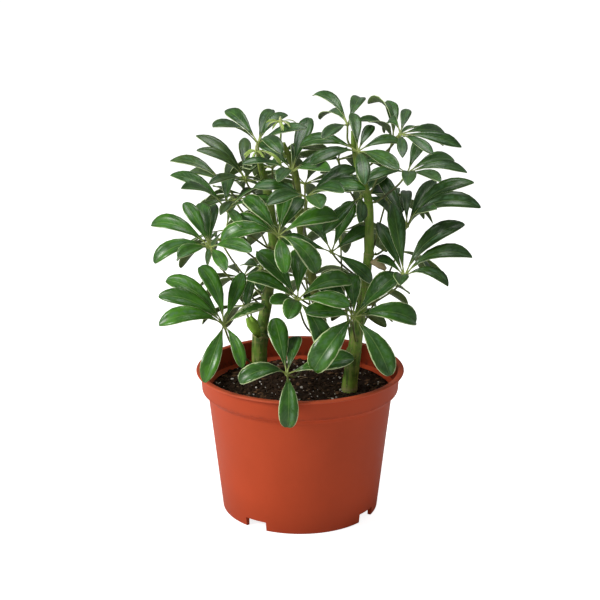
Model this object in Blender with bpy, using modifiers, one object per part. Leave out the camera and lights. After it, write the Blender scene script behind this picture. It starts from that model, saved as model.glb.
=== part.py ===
"""Umbrella plant in a nursery pot: a pot, its soil, three leafy stems and their compound leaves.

Metres, +Z up.  The pot stands on z = 0 with its axis on Z; -Y is the front.
Each compound leaf ("frond") is a petiole, a hub and a whorl of leaflets, fused into one solid.
"""

import math
import random
from collections import namedtuple

import bmesh
import bpy
from mathutils import Matrix, Vector
from mathutils.bvhtree import BVHTree

MM = 0.001
GAP = 0.3 * MM                      # air left between neighbouring solids

# pot
RIM_HEIGHT = 116.0 * MM
LIP_RADIUS = 82.5 * MM
LIP_THICKNESS = 1.8 * MM
WALL = 1.6 * MM
BAND_RADIUS = 79.0 * MM             # outside of the band, just under the lip
BAND_FOOT_RADIUS = 78.1 * MM
BAND_HEIGHT = 16.5 * MM             # lip top to the foot of the band
STEP_HEIGHT = 4.0 * MM              # slanted step from the band in to the body
BODY_RADIUS = 73.2 * MM             # body, just under the step
FOOT_RADIUS = 62.5 * MM             # body, carried down to the floor
FOOT_ROUNDING = 1.0 * MM
BASE_LIFT = 8.0 * MM                # the pot's base hangs this far above its foot ring's underside
RING_THICKNESS = 3.0 * MM
PAD_RADIUS = 30.0 * MM              # the middle of the base steps down to stand on the floor too
POT_SIDES = 48

# drainage notches in the foot ring
NOTCH_BEARINGS = (-33.5, 56.5, 146.5, 236.5)
NOTCH_WIDTH = 18.5 * MM
NOTCH_HEIGHT = 7.5 * MM
NOTCH_DEPTH = 7.0 * MM

# soil
SOIL_EDGE = 98.0 * MM
SOIL_CROWN = 101.0 * MM             # height of the soil in the middle
SOIL_SIDES = 48

# stems: points up the centre line (x, y, z, radius), all in mm
Stem = namedtuple("Stem", "name color points")
STEM_ROOT = 78.0                    # how far down the stems stand, mm
STEMS = {
    "left": Stem("stem_left", (0.16, 0.27, 0.05), (
        (-33, 26, STEM_ROOT, 6.2), (-33, 26, 103, 6.6), (-33, 26, 110, 6.4), (-33, 27, 123, 6.3),
        (-32, 28, 133, 6.9), (-31, 29, 137, 5.2), (-30, 30, 145, 4.8), (-27, 31, 160, 4.6),
        (-24, 31, 184, 4.5), (-21, 30, 202, 4.4), (-21, 29, 208, 4.9), (-21, 28, 213, 4.3),
        (-23, 24, 232, 4.1), (-25, 20, 250, 3.8), (-27, 17, 262, 3.3), (-30, 12, 274, 2.5),
        (-32, 8, 282, 1.8))),
    "right": Stem("stem_right", (0.15, 0.29, 0.05), (
        (39, -12, STEM_ROOT, 5.8), (39, -12, 103, 6.2), (40, -12, 113, 5.9), (42, -13, 128, 5.5),
        (42, -13, 133, 6.0), (43, -14, 138, 5.3), (45, -14, 156, 5.0), (48, -13, 170, 4.4),
        (50, -12, 184, 3.8), (52, -11, 205, 3.6), (53, -10, 211, 4.2), (53, -10, 216, 3.5),
        (53, -10, 238, 3.4), (52, -9, 253, 3.3), (48, -7, 266, 3.1), (44, -5, 278, 2.8),
        (41, -2, 294, 2.2), (40, 0, 305, 1.6))),
    "middle": Stem("stem_middle", (0.26, 0.30, 0.07), (
        (21, 49, STEM_ROOT, 4.2), (21, 49, 103, 4.6), (20, 46, 118, 4.2), (18, 42, 136, 4.2),
        (17, 40, 142, 4.8), (16, 39, 147, 4.0), (10, 36, 178, 3.9), (5, 33, 200, 3.8),
        (1, 30, 221, 3.7), (-1, 25, 236, 3.5), (-2, 20, 251, 3.3), (-4, 15, 270, 2.8),
        (-9, 11, 284, 2.2), (-13, 9, 294, 1.7))),
}
STEM_BEVEL_RESOLUTION = 3

# fronds
PETIOLE_RADIUS = 0.95 * MM
PETIOLE_FLARE = 1.4                 # its radius at the stem, to its radius further on
PETIOLE_FOOT = 2.5 * MM             # it stands straight off the stem for this far
PETIOLE_SLOPE = 0.75                # its rise for each unit it reaches out
LOWEST_PETIOLE = 9.0 * MM           # above the soil
HUB_RADIUS = 2.5 * MM
LEAFLET_WIDTH = 0.27                # of its length
LEAFLET_THICKNESS = 1.0 * MM        # at the midrib
LEAFLET_STALK = 1.0 * MM            # half width of the petiolule
# stations along a leaflet: share of its length, share of its half width (0 is the stalk's)
STATIONS = ((0.0, 0.0), (0.15, 0.06), (0.42, 0.88), (0.75, 0.92), (1.0, 0.0))
LEAFLET_STEPS = 20                  # a leaflet's curve is walked in this many steps
USUAL_SPACING = 48.0                # degrees between leaflets of one whorl
LEAN = 22.0                         # degrees a leaflet turns towards the light, at most
MIDDLE_Y = 25.0                     # mm; fronds behind this look to the back
CLEARANCE = 0.4 * MM                # kept between a leaflet and whatever it passes

# A leaflet: its bearing as seen face on, clockwise from the top, its length in mm, how many degrees
# nearer to the axis it leaves than its neighbours, and its arch, how far it bends back.
Leaflet = namedtuple("Leaflet", "bearing length rise arch")

# A frond: its stem, hub (mm), the way its face looks (azimuth from the front to the right, height
# above the horizon), cup (angle from that axis at which the leaflets leave), arch where a leaflet
# has none of its own, leaflets, how many it has in all, their usual length and their width.
# Leaflets not listed fill the gaps.
Frond = namedtuple("Frond", "stem hub azimuth height cup arch leaflets count length width",
                   defaults=((), 7, 48, LEAFLET_WIDTH))
FRONDS = (
    # low at the front, over the soil and the rim
    Frond("middle", (-10, -64, 132), 10, 55, 55, 50,
          ((-5, 50, -8, 35), (20, 38, 0, 65), (-100, 46, 24, 120), (85, 54, -8, 35),
           (-175, 50, -16, 120)), 5, 50, 0.30),
    Frond("left", (-58, -40, 163), 30, 60, 55, 60,
          ((-75, 58, 8, 100), (-50, 60, 8, 80), (-30, 64, 8, 80), (-5, 56, 24, 80), (35, 48, 8, 35),
           (80, 40, 0, 50), (-180, 42, -16, 65), (-142, 56, -16, 95)), 8, 50, 0.30),
    Frond("right", (40, -50, 172), 20, 50, 55, 60,
          ((65, 56, 8, 65), (105, 56, 16, 100), (160, 56, -16, 65), (10, 46, 0, 80),
           (-130, 62, -16, 120)), 7, 46, 0.33),
    Frond("middle", (-2, -52, 186), 0, 60, 55, 60,
          ((-40, 52, 8, 50), (-65, 46, 8, 65), (-140, 38, 16, 35), (0, 54, 0, 65), (65, 52, 8, 100),
           (145, 52, -16, 100), (-170, 46, 16, 50)), 8, 46, 0.31),
    # the middle tier
    Frond("left", (-67, -45, 225), -10, 65, 55, 60,
          ((-70, 58, 8, 80), (-40, 44, 16, 50), (-10, 54, -16, 35), (-115, 50, 8, 100),
           (-160, 46, 8, 35), (120, 48, 8, 50), (150, 42, -8, 35), (-20, 48, 0, 50)), 8),
    Frond("middle", (-16, -46, 234), 0, 55, 55, 65,
          ((10, 46, 8, 50), (40, 42, -8, 50), (65, 54, 0, 80), (130, 48, 0, 120), (-40, 44, 8, 65),
           (-65, 42, 0, 80), (-95, 52, 16, 120)), 8, 46, 0.30),
    Frond("right", (24, -15, 214), 0, 35, 85, 65,
          ((20, 52, 0, 35), (50, 44, -8, 35), (130, 44, 8, 80), (-25, 54, 0, 100),
           (-70, 46, 8, 60)), 5, 46, 0.30),
    Frond("right", (79, -32, 199), -30, 70, 55, 60,
          ((-50, 52, 16, 35), (-30, 62, 24, 35), (35, 68, 24, 80), (55, 62, 16, 100), (80, 42, 8, 120),
           (-75, 40, 8, 80), (155, 54, 8, 35)), 7, 48, 0.28),
    Frond("right", (82, -10, 233), -30, 75, 55, 60,
          ((-25, 48, 8, 65), (-50, 58, 8, 35), (0, 54, 0, 35), (120, 54, 16, 35), (45, 68, 24, 80),
           (70, 68, 24, 100)), 6, 48, 0.25),
    Frond("right", (47, -4, 255), 30, 55, 85, 60,
          ((-160, 42, 24, 35), (100, 40, -8, 65), (55, 44, 8, 35), (15, 42, -16, 35),
           (75, 44, 0, 35)), 6),
    Frond("left", (-59, 30, 221), -40, 65, 65, 60, ((-20, 50, 0, 60),), 6),
    Frond("right", (35, 6, 167), 0, 70, 85, 60,
          ((-40, 40, -8, 50), (-15, 46, -8, 35), (-150, 36, 24, 35), (20, 50, -8, 35)), 5, 40, 0.32),
    Frond("middle", (-30, 4, 196), -60, 60, 85, 60,
          ((-85, 42, 0, 35), (-50, 42, -16, 35), (120, 42, 16, 35), (-110, 36, -16, 50)), 6, 40),
    # the upper tier
    Frond("left", (-50, -4, 252), -10, 70, 75, 60,
          ((-35, 40, -8, 35), (-175, 38, 16, 35), (15, 38, -16, 35), (135, 36, 8, 35)), 6, 38),
    Frond("left", (-42, 5, 266), 20, 75, 55, 50,
          ((-45, 56, 24, 65), (-70, 48, 24, 65), (15, 50, 0, 35), (-165, 54, 16, 35)), 7),
    Frond("left", (-56, -15, 247), -50, 80, 55, 50,
          ((-110, 58, 24, 65), (165, 60, 24, 50), (-50, 52, 8, 65)), 6),
    Frond("left", (-59, 20, 260), -90, 75, 55, 60, ((-150, 56, 24, 65), (-125, 54, -8, 35)), 5),
    Frond("middle", (5, -40, 262), 10, 75, 55, 50,
          ((60, 52, 0, 50), (90, 42, 0, 35), (120, 50, 8, 50), (155, 52, 16, 50), (-180, 58, 0, 35)), 7),
    Frond("middle", (-6, -12, 276), 0, 70, 55, 50,
          ((15, 58, 0, 35), (-10, 46, 0, 100), (-165, 44, 8, 50), (55, 46, -8, 65),
           (145, 56, 8, 35)), 7),
    Frond("right", (81, -10, 274), 50, 75, 65, 60,
          ((65, 50, 8, 35), (105, 50, 16, 65), (135, 50, 16, 65), (-155, 50, 8, 35),
           (-125, 52, 8, 50)), 7),
    Frond("right", (43, -22, 293), 10, 65, 65, 65,
          ((-60, 52, 0, 80), (5, 44, 0, 35), (30, 36, 0, 35), (-175, 48, 8, 65), (155, 52, 8, 35)), 7),
    # the crown
    Frond("left", (-32, 2, 295), -40, 75, 55, 50,
          ((-70, 52, 8, 50), (-180, 56, 24, 50), (-25, 50, -8, 35), (0, 42, 8, 65),
           (115, 50, 8, 80)), 6),
    Frond("right", (36, 4, 309), 50, 70, 65, 60,
          ((10, 50, 16, 80), (30, 58, -16, 65), (60, 56, 8, 50), (-105, 48, -8, 35)), 5, 46, 0.25),
    Frond("right", (76, 2, 302), 20, 65, 75, 50,
          ((30, 42, 0, 35), (75, 56, -8, 50), (115, 50, 0, 35), (-160, 40, 8, 35), (5, 46, 8, 120),
           (160, 38, 8, 35)), 6),
    Frond("right", (73, 34, 293), 60, 70, 55, 60,
          ((50, 50, 0, 35), (30, 58, 24, 120), (-85, 54, 0, 35)), 5),
    # the back and the far sides
    Frond("left", (-48, 82, 168), -150, 55, 68, 55),
    Frond("middle", (5, 104, 160), 180, 55, 68, 55),
    Frond("right", (57, 70, 162), 150, 55, 68, 55, (), 6, 44),
    Frond("left", (-66, 62, 205), -125, 55, 68, 55),
    Frond("middle", (-20, 100, 208), -170, 55, 68, 55),
    Frond("right", (34, 92, 205), 160, 55, 68, 55),
    Frond("right", (80, 45, 200), 110, 55, 68, 55),
    Frond("left", (-44, 72, 240), -145, 60, 65, 55),
    Frond("middle", (4, 80, 248), 180, 60, 65, 55),
    Frond("right", (54, 62, 244), 140, 60, 65, 55),
    Frond("left", (-22, 46, 268), -150, 70, 65, 55),
    Frond("right", (30, 38, 276), 150, 70, 65, 55),
    Frond("left", (-46, 52, 152), -140, 50, 68, 55, (), 5, 42),
    Frond("right", (42, 40, 150), 150, 50, 68, 55, (), 5, 42),
    Frond("right", (70, 42, 246), 110, 60, 68, 55),
)
# two whorls of very young leaves at the growing tips
YOUNG = (
    Frond("left", (-33, -9, 291), 0, 85, 75, 80, (), 9, 13, 0.22),
    Frond("middle", (-15, 4, 311), 0, 85, 75, 80, (), 9, 13, 0.22),
)

# growing clear: what is tried, the smallest moves first
SEED = 11
STEM_SLEEVE = 1.04                  # the stems, as the petioles and leaflets see them
PETIOLE_SLEEVE = 1.4 * PETIOLE_RADIUS
PETIOLE_MARGIN = 3.0 * MM           # kept to the soil and the rim
LEAFLET_MARGIN = 1.5 * MM
SWAYS = sorted(((drop, bow)
                for drop in (0, -8, 8, -16, 16, -26, 26, 36)
                for bow in (0.0, 0.08, -0.08, 0.16, -0.16, 0.26, -0.26)),
               key=lambda sway: abs(sway[0]) / 8 + abs(sway[1]) / 0.08)
MOVES = sorted(((lift, swing, roll, size)
                for lift in (0, 4, -4, 8, -8, 14, -14, 22, -22)
                for swing in (0, 4, -4, 8, -8, 14, -14)
                for roll in (0, 12, -12, 24, -24, 36, -36)
                for size in (1.0, 0.94, 0.88, 0.8, 0.72)),
               key=lambda move: (abs(move[0]) + abs(move[1]) + 0.2 * abs(move[2])
                                 + 80 * (1.0 - move[3])))


def material(name, color, roughness=0.5):
    made = bpy.data.materials.new(name)
    made.use_nodes = True
    shader = made.node_tree.nodes["Principled BSDF"]
    shader.inputs["Base Color"].default_value = (*color, 1.0)
    shader.inputs["Roughness"].default_value = roughness
    made.diffuse_color = (*color, 1.0)
    return made


def clear_scene():
    for item in list(bpy.data.objects):
        bpy.data.objects.remove(item, do_unlink=True)


def add_object(name, mesh, collection, skin=None):
    made = bpy.data.objects.new(name, mesh)
    collection.objects.link(made)
    if skin:
        mesh.materials.clear()
        mesh.materials.append(skin)
    return made


def shade_round(mesh, angle=40.0):
    mesh.shade_smooth()
    mesh.set_sharp_from_angle(angle=math.radians(angle))


def baked(item):
    """The mesh of an object with its modifiers applied, in world coordinates."""
    graph = bpy.context.evaluated_depsgraph_get()
    mesh = bpy.data.meshes.new_from_object(item.evaluated_get(graph))
    mesh.transform(item.matrix_world)
    return mesh


def boolean(item, operation, cutter=None, group=None, solver="EXACT"):
    """Cut or join, applied at once; what was used is left to the caller to remove."""
    step = item.modifiers.new("Boolean", "BOOLEAN")
    step.operation = operation
    step.solver = solver
    if group:
        step.operand_type = "COLLECTION"
        step.collection = group
    else:
        step.object = cutter
    bpy.context.view_layer.update()
    mesh = baked(item)
    old = item.data
    item.modifiers.clear()
    item.data = mesh
    item.matrix_world = Matrix.Identity(4)
    bpy.data.meshes.remove(old)


def turned(name, profile, sides, collection, skin=None):
    """A solid turned on Z from a profile that runs from the axis, or round a closed loop."""
    mesh = bpy.data.meshes.new(name)
    closed = profile[0] != profile[-1] and min(r for r, _ in profile) > 0.0
    points = [(r, 0.0, z) for r, z in profile]
    edges = [(i, i + 1) for i in range(len(points) - 1)]
    if closed:
        edges.append((len(points) - 1, 0))
    mesh.from_pydata(points, edges, [])
    item = add_object(name, mesh, collection, skin)
    spin = item.modifiers.new("Turn", "SCREW")
    spin.steps = sides
    spin.render_steps = sides
    spin.use_merge_vertices = True
    spin.merge_threshold = 0.00001
    spin.use_smooth_shade = True
    bpy.context.view_layer.update()
    baked_mesh = baked(item)
    item.modifiers.clear()
    item.data = baked_mesh
    bpy.data.meshes.remove(mesh)
    shade_round(item.data, 32.0)
    return item


def tube(name, points, radii, collection, resolution, skin=None):
    """A capped tube through the points, as a mesh with its caps welded."""
    curve = bpy.data.curves.new(name, "CURVE")
    curve.dimensions = "3D"
    curve.bevel_depth = 1.0
    curve.bevel_resolution = resolution
    curve.use_fill_caps = True
    curve.twist_mode = "MINIMUM"
    line = curve.splines.new("POLY")
    line.points.add(len(points) - 1)
    for target, point, radius in zip(line.points, points, radii):
        target.co = (*point, 1.0)
        target.radius = radius
    holder = bpy.data.objects.new(name, curve)
    collection.objects.link(holder)
    bpy.context.view_layer.update()
    mesh = baked(holder)
    bpy.data.objects.remove(holder, do_unlink=True)
    bpy.data.curves.remove(curve)
    work = bmesh.new()
    work.from_mesh(mesh)
    bmesh.ops.remove_doubles(work, verts=work.verts, dist=0.000005)
    bmesh.ops.recalc_face_normals(work, faces=work.faces)
    work.to_mesh(mesh)
    work.free()
    return add_object(name, mesh, collection, skin)


# ---------------------------------------------------------------- pot and soil

def arc(center, radius, start, end, steps):
    for k in range(steps + 1):
        angle = math.radians(start + (end - start) * k / steps)
        yield center[0] + radius * math.cos(angle), center[1] + radius * math.sin(angle)


def body_radius(z):
    """Outer radius of the pot's tapering body at height z."""
    top = RIM_HEIGHT - BAND_HEIGHT - STEP_HEIGHT
    return FOOT_RADIUS + (BODY_RADIUS - FOOT_RADIUS) * z / top


def make_pot(collection, cutters):
    lip_half = LIP_THICKNESS / 2
    band_foot = RIM_HEIGHT - BAND_HEIGHT
    body_top = band_foot - STEP_HEIGHT
    corner = (body_radius(FOOT_ROUNDING) - FOOT_ROUNDING, FOOT_ROUNDING)
    outer = list(arc((LIP_RADIUS - lip_half, RIM_HEIGHT - lip_half), lip_half, 90, -90, 4))
    outer += [
        (BAND_RADIUS, RIM_HEIGHT - LIP_THICKNESS - 0.4 * MM),
        (BAND_FOOT_RADIUS, band_foot),
        (BODY_RADIUS, body_top),
    ]
    outer += list(arc(corner, FOOT_ROUNDING, 0, -90, 3))
    floor = BASE_LIFT + WALL
    ring = FOOT_RADIUS - RING_THICKNESS
    inner = [
        (0.0, WALL),
        (PAD_RADIUS - WALL, WALL),
        (PAD_RADIUS - WALL, floor),
        (body_radius(floor) - WALL - 1.5 * MM, floor),
        (body_radius(floor) - WALL, floor + 1.5 * MM),
        (BODY_RADIUS - WALL, body_top + 0.8 * MM),
        (BAND_FOOT_RADIUS - WALL, band_foot + 0.8 * MM),
        (BAND_RADIUS - WALL, RIM_HEIGHT - 1.0 * MM),
        (BAND_RADIUS - WALL + 1.0 * MM, RIM_HEIGHT),
    ]
    underside = [(0.0, 0.0), (PAD_RADIUS, 0.0), (PAD_RADIUS, BASE_LIFT), (ring, BASE_LIFT), (ring, 0.0)]
    profile = list(reversed(inner)) + underside + list(reversed(outer))
    profile.append(profile[0])
    pot = turned("pot", list(reversed(profile)), POT_SIDES, collection,
                 material("terracotta_plastic", (0.52, 0.075, 0.03), 0.45))
    for bearing in NOTCH_BEARINGS:
        bpy.ops.mesh.primitive_cube_add(size=1.0)
        cutter = bpy.context.object
        cutter.name = "notch_cutter"
        for owner in list(cutter.users_collection):
            owner.objects.unlink(cutter)
        cutters.objects.link(cutter)
        cutter.scale = (NOTCH_WIDTH, 2 * NOTCH_DEPTH, 2 * NOTCH_HEIGHT)
        angle = math.radians(bearing)
        radius = FOOT_RADIUS
        cutter.location = (radius * math.sin(angle), -radius * math.cos(angle), 0.0)
        cutter.rotation_euler = (0.0, 0.0, angle)
        cutter.hide_render = True
        cutter.display_type = "WIRE"
        bpy.context.view_layer.update()
        boolean(pot, "DIFFERENCE", cutter)
        bpy.data.objects.remove(cutter, do_unlink=True)
    shade_round(pot.data, 32.0)
    return pot


def make_soil(collection, cutters):
    side = BODY_RADIUS - WALL - GAP
    floor = BASE_LIFT + WALL + GAP
    foot = body_radius(floor) - WALL - GAP
    pad = PAD_RADIUS - WALL - GAP
    top = RIM_HEIGHT - BAND_HEIGHT - STEP_HEIGHT
    profile = [
        (0.0, SOIL_CROWN),
        (0.45 * side, SOIL_CROWN - 0.4 * MM),
        (0.85 * side, SOIL_EDGE + 0.8 * MM),
        (side + 0.8 * MM, SOIL_EDGE),
        (side - 0.1 * MM, top),
        (foot - 0.2 * MM, floor + 1.7 * MM),
        (foot - 2.0 * MM, floor),
        (pad, floor),
        (pad, WALL + GAP),
        (0.0, WALL + GAP),
    ]
    soil = turned("soil", profile, SOIL_SIDES, collection,
                  material("potting_soil", (0.03, 0.018, 0.012), 0.95))
    for stem in STEMS.values():
        points = [Vector(p[:3]) * MM for p in stem.points[:3]]
        points[0].z -= GAP
        points[-1].z = SOIL_CROWN + 10 * MM
        radius = max(p[3] for p in stem.points[:2]) * MM + GAP
        cutter = tube("hole_cutter", points, [radius / math.cos(math.pi / 12)] * 3, cutters, 4)
        cutter.hide_render = True
        cutter.display_type = "WIRE"
        boolean(soil, "DIFFERENCE", cutter)
        bpy.data.objects.remove(cutter, do_unlink=True)
    shade_round(soil.data, 32.0)
    return soil


# ---------------------------------------------------------------- stems

def make_stem(stem, collection):
    points = [Vector(p[:3]) * MM for p in stem.points]
    radii = [p[3] * MM for p in stem.points]
    item = tube(stem.name, points, radii, collection, STEM_BEVEL_RESOLUTION,
                material(stem.name + "_bark", stem.color, 0.5))
    shade_round(item.data, 50.0)
    return item


def stem_at(stem, z):
    """Centre and radius of a stem at height z."""
    points = stem.points
    for low, high in zip(points, points[1:]):
        if low[2] * MM <= z <= high[2] * MM:
            share = (z / MM - low[2]) / (high[2] - low[2])
            mixed = [a + (b - a) * share for a, b in zip(low, high)]
            return Vector(mixed[:3]) * MM, mixed[3] * MM
    last = points[-1]
    return Vector(last[:3]) * MM, last[3] * MM


# ---------------------------------------------------------------- fronds: lines

def facing(frond):
    """Unit vectors: out of the frond's face, its top, and its right as seen face on."""
    azimuth = math.radians(frond.azimuth)
    height = math.radians(frond.height)
    flat = Vector((math.sin(azimuth), -math.cos(azimuth), 0.0))
    out = flat * math.cos(height) + Vector((0.0, 0.0, math.sin(height)))
    top = Vector((0.0, 0.0, 1.0)) - out * out.z
    top.normalize()
    return out, top, top.cross(out)


def whorl(frond, draw):
    """All leaflets of a frond: those listed, then more in the widest gaps."""
    leaflets = [Leaflet(*listed) for listed in frond.leaflets]
    if not leaflets:
        first = draw.uniform(-180.0, 180.0)
        for n in range(frond.count):
            bearing = first + 360.0 * n / frond.count + draw.uniform(-5.0, 5.0)
            length = frond.length * draw.uniform(0.86, 1.06)
            leaflets.append(Leaflet(bearing, length, 0.0, frond.arch))
        return leaflets
    while len(leaflets) < frond.count:
        bearings = sorted(leaf.bearing % 360.0 for leaf in leaflets)
        following = bearings[1:] + [bearings[0] + 360.0]
        width, start = max((b - a, a) for a, b in zip(bearings, following))
        shares = max(2, round(width / USUAL_SPACING))
        bearing = start + width / shares + draw.uniform(-4.0, 4.0)
        length = frond.length * draw.uniform(0.85, 1.0)
        leaflets.append(Leaflet(bearing, length, 0.0, frond.arch))
    return leaflets


def lean_to_light(frond, along, normal):
    """Angle a leaflet turns about its own length to bring its face nearer the light."""
    light = Vector((0.0, -1.0 if frond.hub[1] < MIDDLE_Y else 1.0, 1.0))
    light = (light - along * light.dot(along)).normalized()
    angle = math.degrees(math.atan2(normal.cross(light).dot(along), normal.dot(light)))
    return max(-LEAN, min(LEAN, angle))


def leaflet_line(frond, leaf, roll):
    """Sections up a leaflet: centre, side, normal and half width at each station."""
    out, top, right = facing(frond)
    turn = math.radians(leaf.bearing)
    cup = math.radians(frond.cup - leaf.rise)
    away = top * math.cos(turn) + right * math.sin(turn)
    ahead = away * math.sin(cup) + out * math.cos(cup)
    back = away * math.cos(cup) - out * math.sin(cup)
    length = leaf.length * MM
    half = length * frond.width / 2
    middle_bend = math.radians(leaf.arch / 2)
    roll += lean_to_light(frond, ahead * math.cos(middle_bend) + back * math.sin(middle_bend),
                          ahead * math.sin(middle_bend) - back * math.cos(middle_bend))
    point = Vector(frond.hub) * MM
    sections = []
    for k in range(LEAFLET_STEPS + 1):
        share = k / LEAFLET_STEPS
        bend = math.radians(leaf.arch) * share
        along = ahead * math.cos(bend) + back * math.sin(bend)
        for station, width in STATIONS:
            if abs(station - share) < 0.5 / LEAFLET_STEPS:
                under = back * math.cos(bend) - ahead * math.sin(bend)
                normal = Matrix.Rotation(math.radians(roll), 3, along) @ -under
                across = normal.cross(along)
                sections.append((point.copy(), across, normal, max(half * width, LEAFLET_STALK)))
        point = point + along * (length / LEAFLET_STEPS)
    return sections


def prism(sections, width, above, below, tip=False):
    """Vertices and faces of a strip with a ridge under it, and one above it where asked."""
    verts = []
    faces = []
    rows = []
    for n, (center, side, normal, half) in enumerate(sections):
        if tip and n == len(sections) - 1:
            verts.append(center - normal * below * 0.5)
            rows.append([len(verts) - 1] * (4 if above else 3))
            continue
        edge = side * (half + width)
        ring = [center - edge, center - normal * below, center + edge]
        if above:
            ring.append(center + normal * above)
        rows.append(list(range(len(verts), len(verts) + len(ring))))
        verts.extend(ring)
    for low, high in zip(rows, rows[1:]):
        count = len(low)
        for i in range(count):
            j = (i + 1) % count
            if high[i] == high[j]:
                faces.append((low[i], low[j], high[i]))
            else:
                faces.append((low[i], low[j], high[j]))
                faces.append((low[i], high[j], high[i]))
    faces.append(tuple(reversed(rows[0])))
    if not tip:
        faces.append(tuple(rows[-1]))
    return verts, faces


def petiole_line(frond, drop, bow):
    """Points of a petiole from its stem's surface to the hub.

    It leaves the stem lower the further out the hub is.  drop moves that place down, and bow
    carries the middle of the petiole sideways by that share of its length.
    """
    hub = Vector(frond.hub) * MM
    stem = STEMS[frond.stem]
    lowest = SOIL_CROWN + LOWEST_PETIOLE
    highest = stem.points[-2][2] * MM
    center, _ = stem_at(stem, min(max(hub.z - 20 * MM, lowest), highest))
    flat = Vector((hub.x - center.x, hub.y - center.y))
    height = hub.z - PETIOLE_SLOPE * flat.length - drop
    height = min(max(height, lowest), highest - 0.3 * abs(drop))
    center, radius = stem_at(stem, height)
    flat = Vector((hub.x - center.x, hub.y - center.y, 0.0))
    reach = (hub - center).length
    outward = flat.normalized()
    sideways = Vector((-outward.y, outward.x, 0.0)) * (bow * reach)
    up = Vector((0.0, 0.0, 1.0))
    out, _, _ = facing(frond)
    above, _ = stem_at(stem, height + MM)
    below, _ = stem_at(stem, height - MM)
    lean = abs((above - below).dot(outward)) / (2 * MM)
    start = center + outward * (radius + GAP + lean * PETIOLE_FLARE * PETIOLE_RADIUS)
    first = start + outward * PETIOLE_FOOT
    lead = (outward * 0.8 + up * 0.6) * (0.35 * reach) + sideways
    arrive = (out * 0.35 + outward * 0.35 + up * 0.5).normalized() * (0.28 * reach)
    a, b, c, d = first, first + lead, hub - arrive + sideways, hub
    line = [start, first]
    for share in (0.3, 0.65, 1.0):
        rest = 1.0 - share
        near = a * rest ** 3 + b * (3 * rest ** 2 * share)
        line.append(near + c * (3 * rest * share ** 2) + d * share ** 3)
    return line


def tube_sections(points, radius):
    """Sections for a square proxy tube."""
    sections = []
    for n, point in enumerate(points):
        ahead = points[min(n + 1, len(points) - 1)] - points[max(n - 1, 0)]
        side = ahead.orthogonal().normalized()
        normal = side.cross(ahead).normalized()
        sections.append((point, side, normal, radius))
    return sections


# ---------------------------------------------------------------- growing clear

class Neighbours:
    """Everything grown so far, as trees that a new piece is tested against."""

    def __init__(self):
        self.pieces = []

    def add(self, owner, verts, faces):
        low = [min(v[i] for v in verts) for i in range(3)]
        high = [max(v[i] for v in verts) for i in range(3)]
        self.pieces.append((owner, low, high, BVHTree.FromPolygons(verts, faces)))

    def hits(self, verts, faces, skip=()):
        low = [min(v[i] for v in verts) for i in range(3)]
        high = [max(v[i] for v in verts) for i in range(3)]
        tree = None
        for owner, a, b, other in self.pieces:
            if owner in skip:
                continue
            if any(low[i] > b[i] or high[i] < a[i] for i in range(3)):
                continue
            if tree is None:
                tree = BVHTree.FromPolygons(verts, faces)
            if tree.overlap(other):
                return True
        return False


def touches_pot(points, margin):
    """True where a point lies in the soil or in the pot's wall."""
    for point in points:
        radius = math.hypot(point.x, point.y)
        if radius < BAND_RADIUS and point.z < SOIL_CROWN + margin:
            return True
        if BAND_RADIUS - WALL - margin < radius < LIP_RADIUS + margin and point.z < RIM_HEIGHT + margin:
            return True
    return False


def add_stems(near):
    """Eight-sided sleeves round the stems, a little wider than they are."""
    for key, stem in STEMS.items():
        points = [Vector(p[:3]) * MM for p in stem.points]
        verts = []
        faces = []
        for n, (center, side, normal, _) in enumerate(tube_sections(points, 0.0)):
            radius = stem.points[n][3] * MM * STEM_SLEEVE
            for k in range(8):
                angle = math.radians(45 * k)
                verts.append(center + (side * math.cos(angle) + normal * math.sin(angle)) * radius)
            if n:
                base = 8 * n
                for k in range(8):
                    j = (k + 1) % 8
                    faces.append((base - 8 + k, base - 8 + j, base + j, base + k))
        near.add(key, verts, faces)


def add_hub(number, frond, near):
    """A small box round a hub."""
    center = Vector(frond.hub) * MM
    up = Vector((0.0, 0.0, HUB_RADIUS + CLEARANCE))
    box = tube_sections([center - up, center + up], HUB_RADIUS)
    near.add(("joint", number), *prism(box, 0.0, HUB_RADIUS, HUB_RADIUS))


def grow_petiole(number, frond, near):
    """The first way for a petiole that is clear, or None."""
    wide = PETIOLE_SLEEVE + CLEARANCE
    for drop, bow in SWAYS:
        line = petiole_line(frond, drop * MM, bow)
        verts, faces = prism(tube_sections(line, PETIOLE_SLEEVE), CLEARANCE, wide, wide)
        if touches_pot(line[2:], PETIOLE_MARGIN):
            continue
        if not near.hits(verts, faces, skip=(frond.stem, ("joint", number))):
            return line
    return None


def grow_leaflet(number, frond, leaf, near):
    """The place nearest to the one wanted where a leaflet is clear, or None."""
    own = ("joint", number)
    depth = LEAFLET_THICKNESS + CLEARANCE
    for lift, swing, roll, size in MOVES:
        moved = Leaflet(leaf.bearing + swing, leaf.length * size, leaf.rise + lift, leaf.arch)
        sections = leaflet_line(frond, moved, roll)
        verts, faces = prism(sections[1:], CLEARANCE, CLEARANCE, depth)
        if touches_pot(verts, LEAFLET_MARGIN) or near.hits(verts, faces, skip=(own,)):
            continue
        verts, faces = prism(sections[:2], CLEARANCE, CLEARANCE, depth)
        if not near.hits(verts, faces, skip=(own, ("blade", number))):
            return sections
    return None


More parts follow.
